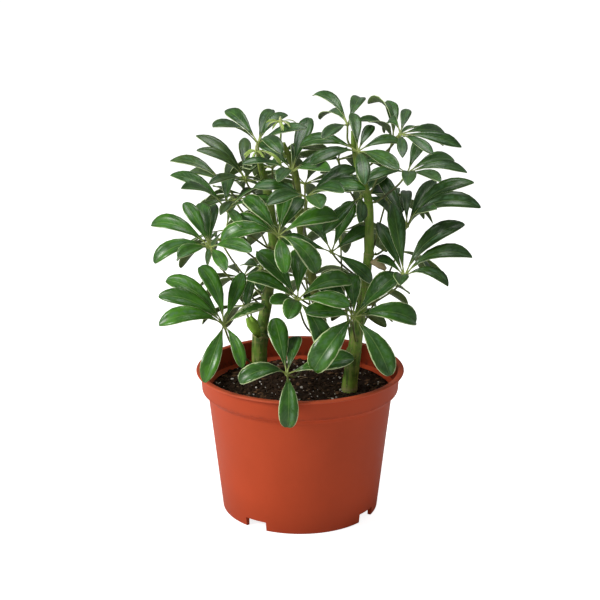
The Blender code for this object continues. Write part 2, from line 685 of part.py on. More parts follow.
def grow(fronds):
    """Petiole lines and leaflet sections of every frond, bent clear of one another."""
    draw = random.Random(SEED)
    near = Neighbours()
    add_stems(near)
    for number, frond in enumerate(fronds):
        add_hub(number, frond, near)
    petioles = []
    for number, frond in enumerate(fronds):
        line = grow_petiole(number, frond, near)
        if line is None:
            line = petiole_line(frond, 0.0, 0.0)
        sections = tube_sections(line, PETIOLE_SLEEVE)
        near.add(("joint", number), *prism(sections, 0.0, PETIOLE_SLEEVE, PETIOLE_SLEEVE))
        petioles.append(line)
    # the listed leaflets of every frond take their places before those that fill the gaps
    queue = []
    for number, frond in enumerate(fronds):
        for place, leaf in enumerate(whorl(frond, draw)):
            queue.append((place >= len(frond.leaflets), number, leaf))
    queue.sort(key=lambda item: item[0])
    whorls = [[] for _ in fronds]
    for _, number, leaf in queue:
        sections = grow_leaflet(number, fronds[number], leaf, near)
        if sections:
            blade = prism(sections[1:], 0.0, 0.0, LEAFLET_THICKNESS, tip=True)
            near.add(("blade", number), *blade)
            near.add(("joint", number), *prism(sections[:2], 0.0, 0.0, LEAFLET_THICKNESS))
            whorls[number].append(sections)
    return petioles, whorls


def make_frond(name, petiole, leaflets, skin, collection, work):
    hub_mesh = bpy.data.meshes.new(name)
    shape = bmesh.new()
    bmesh.ops.create_icosphere(shape, subdivisions=1, radius=HUB_RADIUS)
    bmesh.ops.translate(shape, verts=shape.verts, vec=petiole[-1])
    shape.to_mesh(hub_mesh)
    shape.free()
    item = add_object(name, hub_mesh, collection)
    radii = [PETIOLE_FLARE * PETIOLE_RADIUS, 1.15 * PETIOLE_RADIUS]
    radii += [PETIOLE_RADIUS] * (len(petiole) - 2)
    tube(name + "_petiole", petiole, radii, work, 0)
    for number, sections in enumerate(leaflets):
        verts, faces = prism(sections, 0.0, 0.0, LEAFLET_THICKNESS, tip=True)
        mesh = bpy.data.meshes.new(name + "_leaflet")
        mesh.from_pydata(verts, [], faces)
        shape = bmesh.new()
        shape.from_mesh(mesh)
        bmesh.ops.recalc_face_normals(shape, faces=shape.faces)
        shape.to_mesh(mesh)
        shape.free()
        add_object(f"{name}_leaflet_{number}", mesh, work)
    boolean(item, "UNION", group=work)
    for piece in list(work.objects):
        bpy.data.objects.remove(piece, do_unlink=True)
    item.data.materials.clear()
    item.data.materials.append(skin)
    shade_round(item.data, 35.0)
    return item


def main():
    clear_scene()
    root = bpy.context.scene.collection
    collection = bpy.data.collections.new("umbrella_plant")
    cutters = bpy.data.collections.new("cutters")
    work = bpy.data.collections.new("frond_pieces")
    for made in (collection, cutters, work):
        root.children.link(made)
    make_pot(collection, cutters)
    make_soil(collection, cutters)
    for stem in STEMS.values():
        make_stem(stem, collection)
    green = material("leaf_green", (0.035, 0.13, 0.035), 0.35)
    young = material("young_leaf_green", (0.28, 0.45, 0.08), 0.4)
    fronds = FRONDS + YOUNG
    petioles, whorls = grow(fronds)
    for number, (petiole, leaflets) in enumerate(zip(petioles, whorls)):
        if number < len(FRONDS):
            make_frond(f"frond_{number + 1:02d}", petiole, leaflets, green, collection, work)
        else:
            name = f"young_frond_{number + 1 - len(FRONDS)}"
            make_frond(name, petiole, leaflets, young, collection, work)


main()
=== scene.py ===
"""Looks of an umbrella plant in a plastic nursery pot: smooth variegated leaflets on green stalks,
scarred stems and crumbly soil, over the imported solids."""

import math
import random
from collections import namedtuple

import bmesh
import bpy
from mathutils import Matrix, Vector, noise
from mathutils.bvhtree import BVHTree


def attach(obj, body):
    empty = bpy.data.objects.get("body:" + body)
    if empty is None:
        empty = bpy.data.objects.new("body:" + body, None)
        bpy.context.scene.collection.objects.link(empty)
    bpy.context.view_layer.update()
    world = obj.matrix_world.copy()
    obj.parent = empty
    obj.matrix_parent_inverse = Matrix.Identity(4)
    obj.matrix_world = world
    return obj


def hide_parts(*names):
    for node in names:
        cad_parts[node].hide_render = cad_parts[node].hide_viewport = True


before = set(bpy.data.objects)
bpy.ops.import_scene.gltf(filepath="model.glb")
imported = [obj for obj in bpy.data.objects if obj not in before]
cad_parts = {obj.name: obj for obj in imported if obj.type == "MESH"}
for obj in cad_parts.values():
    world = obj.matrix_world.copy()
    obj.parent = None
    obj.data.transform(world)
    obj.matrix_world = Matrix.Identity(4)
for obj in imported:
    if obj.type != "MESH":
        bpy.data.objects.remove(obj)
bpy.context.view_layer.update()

MM = 0.001
GAP = 0.3 * MM                      # air left between neighbouring solids

# pot
RIM_HEIGHT = 116.0 * MM
LIP_RADIUS = 82.5 * MM
LIP_THICKNESS = 1.8 * MM
WALL = 1.6 * MM
BAND_RADIUS = 79.0 * MM             # outside of the band, just under the lip
BAND_FOOT_RADIUS = 78.1 * MM
BAND_HEIGHT = 16.5 * MM             # lip top to the foot of the band
STEP_HEIGHT = 4.0 * MM              # slanted step from the band in to the body
BODY_RADIUS = 73.2 * MM             # body, just under the step
FOOT_RADIUS = 62.5 * MM             # body, carried down to the floor
FOOT_ROUNDING = 1.0 * MM
BASE_LIFT = 8.0 * MM                # the pot's base hangs this far above its foot ring's underside
RING_THICKNESS = 3.0 * MM
PAD_RADIUS = 30.0 * MM              # the middle of the base steps down to stand on the floor too

# drainage notches in the foot ring
NOTCH_BEARINGS = (-33.5, 56.5, 146.5, 236.5)
NOTCH_WIDTH = 18.5 * MM
NOTCH_HEIGHT = 7.5 * MM

# soil
SOIL_EDGE = 98.0 * MM
SOIL_CROWN = 101.0 * MM             # height of the soil in the middle

# stems: the dark and the light green of the bark, and points up the centre line
# (x, y, z, radius), all in mm
Stem = namedtuple("Stem", "name bark points")
STEM_ROOT = 78.0                    # how far down the stems stand, mm
STEMS = {
    "left": Stem("stem_left", ((0.050, 0.115, 0.012), (0.14, 0.27, 0.025)), (
        (-33, 26, STEM_ROOT, 6.2), (-33, 26, 103, 6.6), (-33, 26, 110, 6.4), (-33, 27, 123, 6.3),
        (-32, 28, 133, 6.9), (-31, 29, 137, 5.2), (-30, 30, 145, 4.8), (-27, 31, 160, 4.6),
        (-24, 31, 184, 4.5), (-21, 30, 202, 4.4), (-21, 29, 208, 4.9), (-21, 28, 213, 4.3),
        (-23, 24, 232, 4.1), (-25, 20, 250, 3.8), (-27, 17, 262, 3.3), (-30, 12, 274, 2.5),
        (-32, 8, 282, 1.8))),
    "right": Stem("stem_right", ((0.065, 0.15, 0.015), (0.18, 0.33, 0.035)), (
        (39, -12, STEM_ROOT, 5.8), (39, -12, 103, 6.2), (40, -12, 113, 5.9), (42, -13, 128, 5.5),
        (42, -13, 133, 6.0), (43, -14, 138, 5.3), (45, -14, 156, 5.0), (48, -13, 170, 4.4),
        (50, -12, 184, 3.8), (52, -11, 205, 3.6), (53, -10, 211, 4.2), (53, -10, 216, 3.5),
        (53, -10, 238, 3.4), (52, -9, 253, 3.3), (48, -7, 266, 3.1), (44, -5, 278, 2.8),
        (41, -2, 294, 2.2), (40, 0, 305, 1.6))),
    "middle": Stem("stem_middle", ((0.10, 0.13, 0.025), (0.24, 0.30, 0.06)), (
        (21, 49, STEM_ROOT, 4.2), (21, 49, 103, 4.6), (20, 46, 118, 4.2), (18, 42, 136, 4.2),
        (17, 40, 142, 4.8), (16, 39, 147, 4.0), (10, 36, 178, 3.9), (5, 33, 200, 3.8),
        (1, 30, 221, 3.7), (-1, 25, 236, 3.5), (-2, 20, 251, 3.3), (-4, 15, 270, 2.8),
        (-9, 11, 284, 2.2), (-13, 9, 294, 1.7))),
}

# fronds
PETIOLE_RADIUS = 0.95 * MM
PETIOLE_FLARE = 1.4                 # its radius at the stem, to its radius further on
PETIOLE_FOOT = 2.5 * MM             # it stands straight off the stem for this far
PETIOLE_SLOPE = 0.75                # its rise for each unit it reaches out
LOWEST_PETIOLE = 9.0 * MM           # above the soil
HUB_RADIUS = 2.5 * MM
LEAFLET_WIDTH = 0.27                # of its length
LEAFLET_THICKNESS = 1.0 * MM        # at the midrib
LEAFLET_STALK = 1.0 * MM            # half width of the petiolule
# stations along a leaflet: share of its length, share of its half width (0 is the stalk's)
STATIONS = ((0.0, 0.0), (0.15, 0.06), (0.42, 0.88), (0.75, 0.92), (1.0, 0.0))
LEAFLET_STEPS = 20                  # a leaflet's curve is walked in this many steps
USUAL_SPACING = 48.0                # degrees between leaflets of one whorl
LEAN = 22.0                         # degrees a leaflet turns towards the light, at most
MIDDLE_Y = 25.0                     # mm; fronds behind this look to the back
CLEARANCE = 0.4 * MM                # kept between a leaflet and whatever it passes

# A leaflet: its bearing as seen face on, clockwise from the top, its length in mm, how many degrees
# nearer to the axis it leaves than its neighbours, and its arch, how far it bends back.
Leaflet = namedtuple("Leaflet", "bearing length rise arch")

# A frond: its stem, hub (mm), the way its face looks (azimuth from the front to the right, height
# above the horizon), cup (angle from that axis at which the leaflets leave), arch where a leaflet
# has none of its own, leaflets, how many it has in all, their usual length and their width.
# Leaflets not listed fill the gaps.
Frond = namedtuple("Frond", "stem hub azimuth height cup arch leaflets count length width",
                   defaults=((), 7, 48, LEAFLET_WIDTH))
FRONDS = (
    # low at the front, over the soil and the rim
    Frond("middle", (-10, -64, 132), 10, 55, 55, 50,
          ((-5, 50, -8, 35), (20, 38, 0, 65), (-100, 46, 24, 120), (85, 54, -8, 35),
           (-175, 50, -16, 120)), 5, 50, 0.30),
    Frond("left", (-58, -40, 163), 30, 60, 55, 60,
          ((-75, 58, 8, 100), (-50, 60, 8, 80), (-30, 64, 8, 80), (-5, 56, 24, 80),
           (35, 48, 8, 35), (80, 40, 0, 50), (-180, 42, -16, 65),
           (-142, 56, -16, 95)), 8, 50, 0.30),
    Frond("right", (40, -50, 172), 20, 50, 55, 60,
          ((65, 56, 8, 65), (105, 56, 16, 100), (160, 56, -16, 65), (10, 46, 0, 80),
           (-130, 62, -16, 120)), 7, 46, 0.33),
    Frond("middle", (-2, -52, 186), 0, 60, 55, 60,
          ((-40, 52, 8, 50), (-65, 46, 8, 65), (-140, 38, 16, 35), (0, 54, 0, 65),
           (65, 52, 8, 100), (145, 52, -16, 100), (-170, 46, 16, 50)), 8, 46, 0.31),
    # the middle tier
    Frond("left", (-67, -45, 225), -10, 65, 55, 60,
          ((-70, 58, 8, 80), (-40, 44, 16, 50), (-10, 54, -16, 35), (-115, 50, 8, 100),
           (-160, 46, 8, 35), (120, 48, 8, 50), (150, 42, -8, 35), (-20, 48, 0, 50)), 8),
    Frond("middle", (-16, -46, 234), 0, 55, 55, 65,
          ((10, 46, 8, 50), (40, 42, -8, 50), (65, 54, 0, 80), (130, 48, 0, 120), (-40, 44, 8, 65),
           (-65, 42, 0, 80), (-95, 52, 16, 120)), 8, 46, 0.30),
    Frond("right", (24, -15, 214), 0, 35, 85, 65,
          ((20, 52, 0, 35), (50, 44, -8, 35), (130, 44, 8, 80), (-25, 54, 0, 100),
           (-70, 46, 8, 60)), 5, 46, 0.30),
    Frond("right", (79, -32, 199), -30, 70, 55, 60,
          ((-50, 52, 16, 35), (-30, 62, 24, 35), (35, 68, 24, 80), (55, 62, 16, 100),
           (80, 42, 8, 120), (-75, 40, 8, 80), (155, 54, 8, 35)), 7, 48, 0.28),
    Frond("right", (82, -10, 233), -30, 75, 55, 60,
          ((-25, 48, 8, 65), (-50, 58, 8, 35), (0, 54, 0, 35), (120, 54, 16, 35), (45, 68, 24, 80),
           (70, 68, 24, 100)), 6, 48, 0.25),
    Frond("right", (47, -4, 255), 30, 55, 85, 60,
          ((-160, 42, 24, 35), (100, 40, -8, 65), (55, 44, 8, 35), (15, 42, -16, 35),
           (75, 44, 0, 35)), 6),
    Frond("left", (-59, 30, 221), -40, 65, 65, 60, ((-20, 50, 0, 60),), 6),
    Frond("right", (35, 6, 167), 0, 70, 85, 60,
          ((-40, 40, -8, 50), (-15, 46, -8, 35), (-150, 36, 24, 35),
           (20, 50, -8, 35)), 5, 40, 0.32),
    Frond("middle", (-30, 4, 196), -60, 60, 85, 60,
          ((-85, 42, 0, 35), (-50, 42, -16, 35), (120, 42, 16, 35), (-110, 36, -16, 50)), 6, 40),
    # the upper tier
    Frond("left", (-50, -4, 252), -10, 70, 75, 60,
          ((-35, 40, -8, 35), (-175, 38, 16, 35), (15, 38, -16, 35), (135, 36, 8, 35)), 6, 38),
    Frond("left", (-42, 5, 266), 20, 75, 55, 50,
          ((-45, 56, 24, 65), (-70, 48, 24, 65), (15, 50, 0, 35), (-165, 54, 16, 35)), 7),
    Frond("left", (-56, -15, 247), -50, 80, 55, 50,
          ((-110, 58, 24, 65), (165, 60, 24, 50), (-50, 52, 8, 65)), 6),
    Frond("left", (-59, 20, 260), -90, 75, 55, 60, ((-150, 56, 24, 65), (-125, 54, -8, 35)), 5),
    Frond("middle", (5, -40, 262), 10, 75, 55, 50,
          ((60, 52, 0, 50), (90, 42, 0, 35), (120, 50, 8, 50), (155, 52, 16, 50),
           (-180, 58, 0, 35)), 7),
    Frond("middle", (-6, -12, 276), 0, 70, 55, 50,
          ((15, 58, 0, 35), (-10, 46, 0, 100), (-165, 44, 8, 50), (55, 46, -8, 65),
           (145, 56, 8, 35)), 7),
    Frond("right", (81, -10, 274), 50, 75, 65, 60,
          ((65, 50, 8, 35), (105, 50, 16, 65), (135, 50, 16, 65), (-155, 50, 8, 35),
           (-125, 52, 8, 50)), 7),
    Frond("right", (43, -22, 293), 10, 65, 65, 65,
          ((-60, 52, 0, 80), (5, 44, 0, 35), (30, 36, 0, 35), (-175, 48, 8, 65),
           (155, 52, 8, 35)), 7),
    # the crown
    Frond("left", (-32, 2, 295), -40, 75, 55, 50,
          ((-70, 52, 8, 50), (-180, 56, 24, 50), (-25, 50, -8, 35), (0, 42, 8, 65),
           (115, 50, 8, 80)), 6),
    Frond("right", (36, 4, 309), 50, 70, 65, 60,
          ((10, 50, 16, 80), (30, 58, -16, 65), (60, 56, 8, 50), (-105, 48, -8, 35)), 5, 46, 0.25),
    Frond("right", (76, 2, 302), 20, 65, 75, 50,
          ((30, 42, 0, 35), (75, 56, -8, 50), (115, 50, 0, 35), (-160, 40, 8, 35), (5, 46, 8, 120),
           (160, 38, 8, 35)), 6),
    Frond("right", (73, 34, 293), 60, 70, 55, 60,
          ((50, 50, 0, 35), (30, 58, 24, 120), (-85, 54, 0, 35)), 5),
    # the back and the far sides
    Frond("left", (-48, 82, 168), -150, 55, 68, 55),
    Frond("middle", (5, 104, 160), 180, 55, 68, 55),
    Frond("right", (57, 70, 162), 150, 55, 68, 55, (), 6, 44),
    Frond("left", (-66, 62, 205), -125, 55, 68, 55),
    Frond("middle", (-20, 100, 208), -170, 55, 68, 55),
    Frond("right", (34, 92, 205), 160, 55, 68, 55),
    Frond("right", (80, 45, 200), 110, 55, 68, 55),
    Frond("left", (-44, 72, 240), -145, 60, 65, 55),
    Frond("middle", (4, 80, 248), 180, 60, 65, 55),
    Frond("right", (54, 62, 244), 140, 60, 65, 55),
    Frond("left", (-22, 46, 268), -150, 70, 65, 55),
    Frond("right", (30, 38, 276), 150, 70, 65, 55),
    Frond("left", (-46, 52, 152), -140, 50, 68, 55, (), 5, 42),
    Frond("right", (42, 40, 150), 150, 50, 68, 55, (), 5, 42),
    Frond("right", (70, 42, 246), 110, 60, 68, 55),
)
# two whorls of very young leaves at the growing tips
YOUNG = (
    Frond("left", (-33, -9, 291), 0, 85, 75, 80, (), 9, 13, 0.22),
    Frond("middle", (-15, 4, 311), 0, 85, 75, 80, (), 9, 13, 0.22),
)

# growing clear: what is tried, the smallest moves first
GROWTH_SEED = 11
STEM_SLEEVE = 1.04                  # the stems, as the petioles and leaflets see them
PETIOLE_SLEEVE = 1.4 * PETIOLE_RADIUS
PETIOLE_MARGIN = 3.0 * MM           # kept to the soil and the rim
LEAFLET_MARGIN = 1.5 * MM
SWAYS = sorted(((drop, bow)
                for drop in (0, -8, 8, -16, 16, -26, 26, 36)
                for bow in (0.0, 0.08, -0.08, 0.16, -0.16, 0.26, -0.26)),
               key=lambda sway: abs(sway[0]) / 8 + abs(sway[1]) / 0.08)
MOVES = sorted(((lift, swing, roll, size)
                for lift in (0, 4, -4, 8, -8, 14, -14, 22, -22)
                for swing in (0, 4, -4, 8, -8, 14, -14)
                for roll in (0, 12, -12, 24, -24, 36, -36)
                for size in (1.0, 0.94, 0.88, 0.8, 0.72)),
               key=lambda move: (abs(move[0]) + abs(move[1]) + 0.2 * abs(move[2])
                                 + 80 * (1.0 - move[3])))

# camera and light, in metres and degrees where nothing else is said
LENS, SENSOR = 85.0, 36.0           # mm
CAMERA_PLACE = (-0.0001, -1.0683, 0.4794)
CAMERA_DROP = 16.087                # how far below the horizon it looks
CAMERA_CLIP = (0.05, 30.0)
FLOOR_REACH = 6.0
WHITE = (1.0, 1.0, 1.0)
ROOM_LIGHT = 0.245                  # what the white room gives from all round
BACKDROP = 1.0
FLOOR_GLOW = 0.86                   # what the floor adds where it is seen
Softbox = namedtuple("Softbox", "name place target size power color")
SOFTBOXES = (
    Softbox("key_softbox", (-1.38, -0.59, 1.0), (0.0, 0.0, 0.15), 0.6, 20.3, (1.0, 0.985, 0.96)),
    Softbox("top_softbox", (0.1, 0.15, 1.5), (0.0, 0.0, 0.2), 0.8, 7.4, WHITE),
    Softbox("fill_softbox", (1.0, -1.3, 0.7), (0.0, 0.0, 0.15), 1.0, 0.9, (0.97, 0.985, 1.0)),
)

# finer measures of the pot
POT_STEPS = 168                     # round the pot; a notch takes eight
TOUCH = 0.01 * MM                   # points closer than this are one

# leaf finishes, in linear colours: the sheen colour paints a pale highlight down each half; margin
# is the width of the cream edge as a share of the half width
LeafTop = namedtuple("LeafTop", "deep fresh vein bloom cream margin roughness coat")
LeafUnder = namedtuple("LeafUnder", "shade vein cream margin")
Stalk = namedtuple("Stalk", "dark light joint")
CREAM = (0.62, 0.75, 0.38)
LEAF_TOP = LeafTop((0.010, 0.054, 0.004), (0.080, 0.285, 0.007), (0.20, 0.36, 0.09),
                   (0.105, 0.235, 0.105), CREAM, 0.075, 0.34, 0.46)
LEAF_UNDER = LeafUnder((0.065, 0.125, 0.022), (0.18, 0.26, 0.07), CREAM, 0.085)
OLIVE_STALK = Stalk((0.075, 0.085, 0.022), (0.19, 0.24, 0.05), (0.42, 0.52, 0.14))
YOUNG_TOP = LeafTop((0.34, 0.54, 0.07), (0.58, 0.74, 0.20), (0.66, 0.74, 0.32),
                    (0.56, 0.70, 0.28), (0.74, 0.78, 0.38), 0.09, 0.4, 0.1)
YOUNG_UNDER = LeafUnder((0.30, 0.42, 0.12), (0.45, 0.55, 0.22), (0.70, 0.72, 0.36), 0.05)
YOUNG_STALK = Stalk((0.22, 0.34, 0.05), (0.40, 0.52, 0.10), (0.50, 0.62, 0.18))
VEIN_PAIRS = 13.0                   # side veins along a leaflet
VEIN_SLANT = 2.6                    # how far they run forward on the way to the edge

# a frond as it is drawn: what each point of it keeps, and how its blades look
Layers = namedtuple("Layers", "place look joint")
Look = namedtuple("Look", "slim tone margin gold")
FROND_SEED = 100                    # and the frond's number
STALK = 2                           # its finishes are the upper side, the underside, the stalks
LEAFLET_ROWS = 10
LEAFLET_COLUMNS = 4
BLADE_FROM = 0.13                   # share of a leaflet's length where its stalk ends
BLADE_REACH = 0.975                 # the rounded tip stays just inside the pointed solid
BLADE_THICKNESS = 0.45 * MM
BLADE_SINK = 0.25 * MM              # its midrib lies this far under the leaflet's line
TIP_CROWDING = 1.8                  # its rows lie closer together towards the tip
MARGIN_WAVE = (0.03, 0.08)          # share of the half width
MIDRIB_FOLD = (0.45, 0.80)          # how steeply the two halves rise from the midrib
UNDERSIDE_BELOW = -0.3              # a face that looks down more than this is underside
# share of the length, share of the half width
BLADE_OUTLINE = ((0.13, 0.07), (0.18, 0.11), (0.25, 0.23), (0.33, 0.43), (0.42, 0.66), (0.52, 0.85),
                 (0.62, 0.97), (0.70, 1.0), (0.78, 0.97), (0.85, 0.87), (0.91, 0.71), (0.96, 0.50),
                 (0.985, 0.33), (1.0, 0.10))
# a leaflet's stalk: share of the leaflet's length, width, how pale
LEAFLET_STALK_TAPER = ((0.0, 1.5, 0.75), (0.05, 1.05, 0.9), (0.1, 1.0, 0.8), (0.16, 0.8, 0.6),
                       (0.24, 0.35, 0.4))
STALK_DROP = 0.45 * MM              # it runs this far under the leaflet's line
# leaflets that came out nearly cream, by their bearings
CREAM_LEAFLETS = {"frond_02": (80,)}
CREAM_MARGIN = 5.0                  # their cream edge; others have 1.4 at most
YOUNG_SLIM = 0.65                   # a young blade's width, to a grown one's
# leaflets of the young whorls that have already grown long
YOUNG_EXTRA = {"young_frond_1": ((110, 27, 0, 95), (150, 16, 0, 80)),
               "young_frond_2": ((170, 15, 0, 60),)}

# old scraps of leaf on the stems: spots and half widths in mm, the way the bulging side looks, and
# the finish (name, dark, light, roughness)
Scale = namedtuple("Scale", "name spots halves lean finish")
SCALE_THICKNESS = 0.5 * MM
SCALES = (
    Scale("green_sheath", ((-33, 18, 135), (-35, 16, 141), (-38, 15, 147), (-41, 14, 153)),
          (1.6, 4.0, 4.6, 2.6), (0.0, -1.0, 0.4),
          ("sheath_green", (0.26, 0.52, 0.05), (0.42, 0.70, 0.10), 0.55)),
    Scale("dried_scale", ((54, -14, 206), (58, -16, 207), (62, -17, 205), (66, -17, 201)),
          (1.4, 3.2, 3.4, 1.4), (0.2, -0.9, 0.5),
          ("dried_leaf", (0.42, 0.33, 0.16), (0.66, 0.56, 0.34), 0.8)),
)

# soil, and what is strewn over it: how many, sizes in mm, height as a share of the size, share of
# the height that is sunk, and the finish (name, dark, light, roughness)
SOIL_SEED = 5
SOIL_REACH = 71.0 * MM              # radius of the soil's crumbly top
SOIL_LIFT = 0.4 * MM                # it lies this far above soil_height
SOIL_MESH = 2.4 * MM                # its longer edges are halved
SOIL_CRUST = 1.5 * MM               # its thickness
EDGE_MARGIN = 1.5 * MM              # nothing is strewn nearer than this to its edge
Strewn = namedtuple("Strewn", "name count sizes flat sink finish")
STREWN = (
    Strewn("soil_crumbs", 1500, (1.2, 3.8), 0.75, 0.35,
           ("soil_crumb", (0.007, 0.003, 0.001), (0.060, 0.032, 0.016), 0.9)),
    Strewn("bark_chips", 190, (2.0, 5.5), 0.35, 0.35,
           ("bark_chip", (0.045, 0.020, 0.009), (0.22, 0.12, 0.06), 0.85)),
    Strewn("perlite", 190, (0.8, 1.5), 0.85, 0.25,
           ("perlite_grain", (0.45, 0.40, 0.33), (0.82, 0.80, 0.76), 0.8)),
    Strewn("perlite_lumps", 34, (1.8, 2.9), 0.8, 0.3,
           ("perlite_lump", (0.50, 0.46, 0.40), (0.85, 0.83, 0.79), 0.8)),
)
STRAW = ("straw_fibre", (0.20, 0.13, 0.07), (0.42, 0.31, 0.18), 0.8)


# ---------------------------------------------------------------- growth

def body_radius(z):
    """Outer radius of the pot's tapering body at height z."""
    top = RIM_HEIGHT - BAND_HEIGHT - STEP_HEIGHT
    return FOOT_RADIUS + (BODY_RADIUS - FOOT_RADIUS) * z / top


def stem_at(stem, z):
    """Centre and radius of a stem at height z."""
    points = stem.points
    for low, high in zip(points, points[1:]):
        if low[2] * MM <= z <= high[2] * MM:
            share = (z / MM - low[2]) / (high[2] - low[2])
            mixed = [a + (b - a) * share for a, b in zip(low, high)]
            return Vector(mixed[:3]) * MM, mixed[3] * MM
    last = points[-1]
    return Vector(last[:3]) * MM, last[3] * MM


def facing(frond):
    """Unit vectors: out of the frond's face, its top, and its right as seen face on."""
    azimuth = math.radians(frond.azimuth)
    height = math.radians(frond.height)
    flat = Vector((math.sin(azimuth), -math.cos(azimuth), 0.0))
    out = flat * math.cos(height) + Vector((0.0, 0.0, math.sin(height)))
    top = Vector((0.0, 0.0, 1.0)) - out * out.z
    top.normalize()
    return out, top, top.cross(out)


def whorl(frond, draw):
    """All leaflets of a frond: those listed, then more in the widest gaps."""
    leaflets = [Leaflet(*listed) for listed in frond.leaflets]
    if not leaflets:
        first = draw.uniform(-180.0, 180.0)
        for n in range(frond.count):
            bearing = first + 360.0 * n / frond.count + draw.uniform(-5.0, 5.0)
            length = frond.length * draw.uniform(0.86, 1.06)
            leaflets.append(Leaflet(bearing, length, 0.0, frond.arch))
        return leaflets
    while len(leaflets) < frond.count:
        bearings = sorted(leaf.bearing % 360.0 for leaf in leaflets)
        following = bearings[1:] + [bearings[0] + 360.0]
        width, start = max((b - a, a) for a, b in zip(bearings, following))
        shares = max(2, round(width / USUAL_SPACING))
        bearing = start + width / shares + draw.uniform(-4.0, 4.0)
        length = frond.length * draw.uniform(0.85, 1.0)
        leaflets.append(Leaflet(bearing, length, 0.0, frond.arch))
    return leaflets


def lean_to_light(frond, along, normal):
    """Angle a leaflet turns about its own length to bring its face nearer the light."""
    light = Vector((0.0, -1.0 if frond.hub[1] < MIDDLE_Y else 1.0, 1.0))
    light = (light - along * light.dot(along)).normalized()
    angle = math.degrees(math.atan2(normal.cross(light).dot(along), normal.dot(light)))
    return max(-LEAN, min(LEAN, angle))


def leaflet_line(frond, leaf, roll, stations=STATIONS):
    """Sections up a leaflet: centre, side, normal and half width at each station."""
    out, top, right = facing(frond)
    turn = math.radians(leaf.bearing)
    cup = math.radians(frond.cup - leaf.rise)
    away = top * math.cos(turn) + right * math.sin(turn)
    ahead = away * math.sin(cup) + out * math.cos(cup)
    back = away * math.cos(cup) - out * math.sin(cup)
    length = leaf.length * MM
    half = length * frond.width / 2
    middle_bend = math.radians(leaf.arch / 2)
    roll += lean_to_light(frond, ahead * math.cos(middle_bend) + back * math.sin(middle_bend),
                          ahead * math.sin(middle_bend) - back * math.cos(middle_bend))
    point = Vector(frond.hub) * MM
    sections = []
    for k in range(LEAFLET_STEPS + 1):
        share = k / LEAFLET_STEPS
        bend = math.radians(leaf.arch) * share
        along = ahead * math.cos(bend) + back * math.sin(bend)
        for station, width in stations:
            if abs(station - share) < 0.5 / LEAFLET_STEPS:
                under = back * math.cos(bend) - ahead * math.sin(bend)
                normal = Matrix.Rotation(math.radians(roll), 3, along) @ -under
                across = normal.cross(along)
                sections.append((point.copy(), across, normal, max(half * width, LEAFLET_STALK)))
        point = point + along * (length / LEAFLET_STEPS)
    return sections


def prism(sections, width, above, below, tip=False):
    """Vertices and faces of a strip with a ridge under it, and one above it where asked."""
    verts = []
    faces = []
    rows = []
    for n, (center, side, normal, half) in enumerate(sections):
        if tip and n == len(sections) - 1:
            verts.append(center - normal * below * 0.5)
            rows.append([len(verts) - 1] * (4 if above else 3))
            continue
        edge = side * (half + width)
        ring = [center - edge, center - normal * below, center + edge]
        if above:
            ring.append(center + normal * above)
        rows.append(list(range(len(verts), len(verts) + len(ring))))
        verts.extend(ring)
    for low, high in zip(rows, rows[1:]):
        count = len(low)
        for i in range(count):
            j = (i + 1) % count
            if high[i] == high[j]:
                faces.append((low[i], low[j], high[i]))
            else:
                faces.append((low[i], low[j], high[j]))
                faces.append((low[i], high[j], high[i]))
    faces.append(tuple(reversed(rows[0])))
    if not tip:
        faces.append(tuple(rows[-1]))
    return verts, faces


def petiole_line(frond, drop, bow):
    """Points of a petiole from its stem's surface to the hub.

    It leaves the stem lower the further out the hub is.  drop moves that place down, and bow
    carries the middle of the petiole sideways by that share of its length.
    """
    hub = Vector(frond.hub) * MM
    stem = STEMS[frond.stem]
    lowest = SOIL_CROWN + LOWEST_PETIOLE
    highest = stem.points[-2][2] * MM
    center, _ = stem_at(stem, min(max(hub.z - 20 * MM, lowest), highest))
    flat = Vector((hub.x - center.x, hub.y - center.y))
    height = hub.z - PETIOLE_SLOPE * flat.length - drop
    height = min(max(height, lowest), highest - 0.3 * abs(drop))
    center, radius = stem_at(stem, height)
    flat = Vector((hub.x - center.x, hub.y - center.y, 0.0))
    reach = (hub - center).length
    outward = flat.normalized()
    sideways = Vector((-outward.y, outward.x, 0.0)) * (bow * reach)
    up = Vector((0.0, 0.0, 1.0))
    out, _, _ = facing(frond)
    above, _ = stem_at(stem, height + MM)
    below, _ = stem_at(stem, height - MM)
    lean = abs((above - below).dot(outward)) / (2 * MM)
    start = center + outward * (radius + GAP + lean * PETIOLE_FLARE * PETIOLE_RADIUS)
    first = start + outward * PETIOLE_FOOT
    lead = (outward * 0.8 + up * 0.6) * (0.35 * reach) + sideways
    arrive = (out * 0.35 + outward * 0.35 + up * 0.5).normalized() * (0.28 * reach)
    a, b, c, d = first, first + lead, hub - arrive + sideways, hub
    line = [start, first]
    for share in (0.3, 0.65, 1.0):
        rest = 1.0 - share
        near = a * rest ** 3 + b * (3 * rest ** 2 * share)
        line.append(near + c * (3 * rest * share ** 2) + d * share ** 3)
    return line


def tube_sections(points, radius):
    """Sections for a square proxy tube."""
    sections = []
    for n, point in enumerate(points):
        ahead = points[min(n + 1, len(points) - 1)] - points[max(n - 1, 0)]
        side = ahead.orthogonal().normalized()
        normal = side.cross(ahead).normalized()
        sections.append((point, side, normal, radius))
    return sections


def corners(verts):
    """The low and the high corner of the box round the points."""
    return [[pick(v[i] for v in verts) for i in range(3)] for pick in (min, max)]


